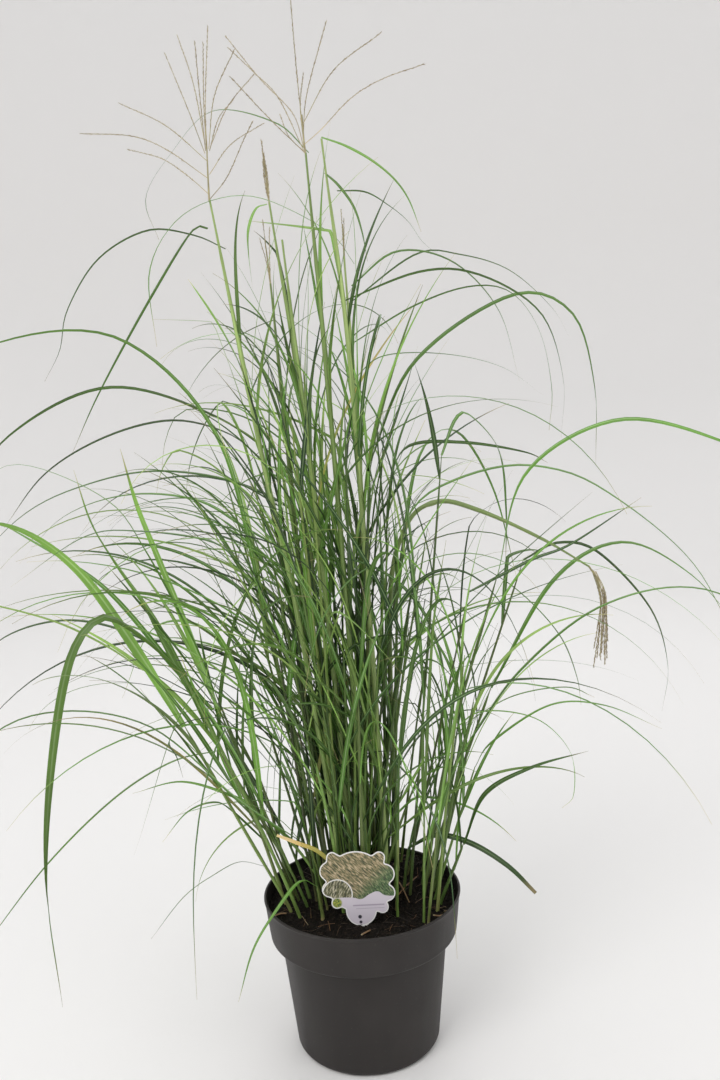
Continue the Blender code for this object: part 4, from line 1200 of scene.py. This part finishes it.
def makeCrumbs(ground):
    mesh = runTree("crumbs", ground.data.copy(), crumbTree(),
                   {"Density": 90000.0, "Seed": 4, "Finish": ground.data.materials[0]})
    finishPiece("compost_crumbs", mesh)
    rng = random.Random(21)
    strips = []
    for k in range(fibres["count"]):
        reach = fibres["reach"] * math.sqrt(rng.random())
        angle, way = rng.uniform(0, 2 * math.pi), rng.uniform(0, 2 * math.pi)
        x, y = reach * math.cos(angle), reach * math.sin(angle)
        length = rng.uniform(*fibres["length"])
        points = []
        for share in (-0.5, 0.0, 0.5):
            px = x + length * share * math.cos(way)
            py = y + length * share * math.sin(way)
            size = math.hypot(px, py)
            if size > fibres["reach"]:
                px, py = px * fibres["reach"] / size, py * fibres["reach"] / size
            points.append((px, py, compostHeight(px, py) + rng.uniform(0.0003, 0.0035)))
        way += rng.uniform(-0.8, 0.8)
        radius = rng.uniform(*fibres["radius"])
        pale = rng.random() < 0.10
        tint = (rng.uniform(0.5, 1.0), 4.0, rng.random()) if pale else (rng.random() ** 3, 0.0, rng.random())
        strips.append(stemStrip(smoothRoute(points, 7), np.full(7, radius), tint))
    for radius, (hue, dry), points in sticks:
        strips.append(stemStrip(smoothRoute(points, 9), np.full(9, radius), (hue, dry, 0.6)))
    mesh = runTree("fibres", hostMesh(strips), stalkTree, {"Sides": 5, "Finish": fibreBrown})
    finishPiece("compost_fibres", mesh)


makeCrumbs(makeCompost())


# plant label: a scalloped card on a stake, leaning back, with a plain printed face
label = {
    "foot": (-0.003, -0.070, soilTop - 0.002), "lean": 9.0, "thick": 0.0010, "border": 0.0015,
    "stakeWidth": 0.012, "stakeDepth": 0.045, "stakeMiddle": 0.004, "points": 288,
    "middle": (0.0, 0.048),
    "discs": [(-0.0038, 0.0624, 0.0387), (-0.0331, 0.0933, 0.0084), (0.0275, 0.0909, 0.0086),
              (0.0338, 0.0696, 0.0136), (0.0358, 0.0453, 0.0113), (0.0293, 0.0274, 0.0084),
              (0.0016, 0.0244, 0.0202), (-0.0294, 0.0350, 0.0076), (-0.0383, 0.0527, 0.0103),
              (-0.0380, 0.0763, 0.0129)],
}


def labelOutline(inset):
    # the outer edge of the label's discs, its notches softened, moved in by an inset
    middle = Vector(label["middle"])
    outline = []
    for k in range(label["points"]):
        angle = -math.pi / 2 + 2 * math.pi * (k + 0.5) / label["points"]
        way = Vector((math.cos(angle), math.sin(angle)))
        best = 0.0
        for x, z, radius in label["discs"]:
            centre = Vector((x, z)) - middle
            along = centre.dot(way)
            inside = radius ** 2 - centre.length_squared + along ** 2
            if inside > 0:
                best = max(best, along + math.sqrt(inside))
        outline.append(middle + way * best)
    for smoothing in range(3):
        outline = [(outline[k - 1] + outline[k] * 2 + outline[(k + 1) % len(outline)]) / 4
                   for k in range(len(outline))]
    moved = []
    for k, point in enumerate(outline):
        ahead = (outline[(k + 1) % len(outline)] - outline[k - 1]).normalized()
        moved.append(point + Vector((-ahead.y, ahead.x)) * inset)
    return moved


def addSheet(bm, outline, middle, back, front):
    # a flat sheet, a fan about its middle, on the label's own leaning plane
    lean = math.radians(label["lean"])
    foot = Vector(label["foot"])
    up = Vector((0.0, math.sin(lean), math.cos(lean)))
    ahead = Vector((0.0, -math.cos(lean), math.sin(lean)))
    layer = bm.loops.layers.uv.verify()
    count = len(outline)
    rows = []
    for depth in (back, front):
        rows.append([bm.verts.new(foot + Vector((p[0], 0.0, 0.0)) + up * p[1] + ahead * depth)
                     for p in [middle, *outline]])
    for k in range(1, count + 1):
        j = k % count + 1
        for corners in ((rows[0][0], rows[0][k], rows[0][j]), (rows[1][0], rows[1][j], rows[1][k]),
                        (rows[0][k], rows[1][k], rows[1][j], rows[0][j])):
            face = bm.faces.new(corners)
            for loop in face.loops:
                offset = loop.vert.co - foot
                loop[layer].uv = (offset.x * 10.0, offset.dot(up) * 10.0)


def sheetMesh(name, sheets):
    bm = bmesh.new()
    bm.loops.layers.uv.new("print")
    for sheet in sheets:
        addSheet(bm, *sheet)
    return meshFrom(bm, name)


labelFinish = {
    "tan": (0.300, 0.235, 0.125), "olive": (0.130, 0.130, 0.055), "leaf": (0.050, 0.120, 0.035),
    "dark": (0.030, 0.035, 0.020), "panel": (0.610, 0.560, 0.620), "bar": (0.200, 0.150, 0.230),
    "white": (0.780, 0.770, 0.750), "lime": (0.360, 0.380, 0.050), "dot": (0.035, 0.030, 0.045),
}


def printMaterial():
    # grass picture above a pale panel, a round inset, two dots and two plain bars (units: 0.1 m)
    material, tree, shader = newMaterial("labelPrint")
    face = result(tree, "ShaderNodeUVMap", uv_map="print")
    place = addNode(tree, "ShaderNodeSeparateXYZ", {0: face})
    x, height = place.outputs[0], place.outputs[1]

    def disc(cx, cy, radius, soft=0.004):
        away = addNode(tree, "ShaderNodeVectorMath", {0: face, 1: (cx, cy, 0.0)}, operation="DISTANCE")
        return remap(tree, away.outputs["Value"], radius + soft, radius - soft)

    def bar(x0, x1, y0, y1):
        inside = times(tree, calc(tree, "GREATER_THAN", x, x0), calc(tree, "LESS_THAN", x, x1))
        tall = times(tree, calc(tree, "GREATER_THAN", height, y0), calc(tree, "LESS_THAN", height, y1))
        return times(tree, inside, tall)

    def streaks(turn, scale, detail):
        inputs = {"Vector": face, "Rotation": (0.0, 0.0, turn), "Scale": (1 / scale[0], 1 / scale[1], 1.0)}
        grain = result(tree, "ShaderNodeMapping", inputs, vector_type="TEXTURE")
        return grainOn(tree, grain, 1.0, detail, 0.5)

    grass = colourRamp(tree, streaks(-0.75, (12.0, 52.0), 6.0),
                       [(0.34, labelFinish["dark"]), (0.45, labelFinish["olive"]),
                        (0.55, labelFinish["tan"]), (0.66, (0.56, 0.46, 0.30))])
    green = colourRamp(tree, streaks(-1.0, (18.0, 56.0), 6.0),
                       [(0.36, labelFinish["dark"]), (0.50, labelFinish["leaf"]),
                        (0.62, (0.20, 0.24, 0.11))])
    lower = calc(tree, "SUBTRACT", times(tree, x, 0.9), height)
    picture = mixColour(tree, remap(tree, lower, -0.62, -0.30), grass, green)
    boundary = addNode(tree, "ShaderNodeFloatCurve", {"Value": calc(tree, "ADD", x, 0.5)})
    curve = boundary.mapping.curves[0]
    curve.points[0].location = (0.0, 0.400)
    curve.points[1].location = (1.0, 0.420)
    for spot in ((0.42, 0.410), (0.52, 0.388), (0.64, 0.451), (0.74, 0.478), (0.83, 0.425)):
        curve.points.new(*spot)
    boundary.mapping.update()
    above = calc(tree, "GREATER_THAN", height, boundary.outputs[0])
    colour = mixColour(tree, above, labelFinish["panel"], picture)
    colour = mixColour(tree, times(tree, disc(-0.286, 0.458, 0.200), above), colour,
                       labelFinish["white"])
    inset = colourRamp(tree, streaks(1.1, (14.0, 52.0), 5.0),
                       [(0.38, labelFinish["dark"]), (0.50, labelFinish["olive"]),
                        (0.64, (0.50, 0.46, 0.34))])
    colour = mixColour(tree, times(tree, disc(-0.286, 0.458, 0.187), above), colour, inset)
    fleck = streaks(0.0, (60.0, 60.0), 2.0)
    lime = mixColour(tree, remap(tree, fleck, 0.45, 0.6), labelFinish["lime"], labelFinish["leaf"])
    colour = mixColour(tree, times(tree, disc(-0.294, 0.350, 0.062, 0.012),
                                  calc(tree, "SUBTRACT", 1.0, above)), colour, lime)
    for mask in (bar(-0.09, 0.32, 0.298, 0.316), bar(-0.05, 0.32, 0.262, 0.268)):
        colour = mixColour(tree, times(tree, mask, 0.55), colour, labelFinish["bar"])
    for mask in (disc(-0.004, 0.159, 0.024), disc(0.004, 0.091, 0.020)):
        colour = mixColour(tree, mask, colour, labelFinish["dot"])
    fill(tree, shader, {"Base Color": colour, "Roughness": 0.32})
    return material


def makeLabel():
    card, tree, shader = newMaterial("labelCard")
    fill(tree, shader, {"Base Color": labelFinish["white"],
                        "Roughness": remap(tree, objectNoise(tree, 60.0), 0.3, 0.7, 0.30, 0.40)})
    half, middle, deep = label["stakeWidth"] / 2, label["stakeMiddle"], label["stakeDepth"]
    stake = [(middle + half, 0.012), (middle - half, 0.012), (middle - half, 0.010 - deep),
             (middle, -deep), (middle + half, 0.010 - deep)]
    thick = label["thick"] / 2
    mesh = sheetMesh("label_card", [(labelOutline(0.0), label["middle"], -thick, thick),
                                    (stake, (middle, -0.015), -0.8 * thick, 0.8 * thick)])
    mesh.materials.append(card)
    finishPiece("label_card", mesh, ["plant_label"])
    face = (labelOutline(label["border"]), label["middle"], thick + 0.00003, thick + 0.00012)
    mesh = sheetMesh("label_print", [face])
    mesh.materials.append(printMaterial())
    finishPiece("label_print", mesh)


makeLabel()


# stage: a pale bowl that curves up all round, open at the top
stageSet = {"radius": 5.0, "curve": 1.8, "height": 5.0, "colour": (0.84, 0.825, 0.81),
            "sky": (0.95, 0.97, 1.0), "skyPower": 0.91, "aim": (0.0, 0.0, 0.6)}


def makeStage():
    radius, curve = stageSet["radius"], stageSet["curve"]
    profile = [(0.0, 0.0)] + arc(radius - curve, curve, curve, -90, 0, 17)
    profile.append((radius, stageSet["height"]))
    bowl = turned("bowl", profile, 96, 0.0001)
    material, tree, shader = newMaterial("stagePale")
    fill(tree, shader, {"Base Color": stageSet["colour"], "Roughness": 0.9})
    bowl.data.materials.append(material)


lightSet = {
    "key": {"place": (-1.6, -2.2, 2.9), "size": 1.8, "power": 50.0},
    "fill": {"place": (2.2, -1.9, 1.9), "size": 2.2, "power": 11.0},
    "back": {"place": (0.4, 2.6, 3.0), "size": 2.0, "power": 20.0},
}


def makeLights():
    for name, light in lightSet.items():
        data = bpy.data.lights.new(name, "AREA")
        data.size = light["size"]
        data.energy = light["power"]
        lamp = placed(name, data)
        lamp.location = light["place"]
        aim = Vector(stageSet["aim"]) - Vector(light["place"])
        lamp.rotation_mode = "QUATERNION"
        lamp.rotation_quaternion = aim.to_track_quat("-Z", "Y")
    world = bpy.data.worlds.new("studio")
    bpy.context.scene.world = world
    world.use_nodes = True
    fill(world.node_tree, world.node_tree.nodes["Background"], {0: stageSet["sky"], 1: stageSet["skyPower"]})
    bpy.context.scene.view_settings.view_transform = "Standard"


makeStage()
makeLights()
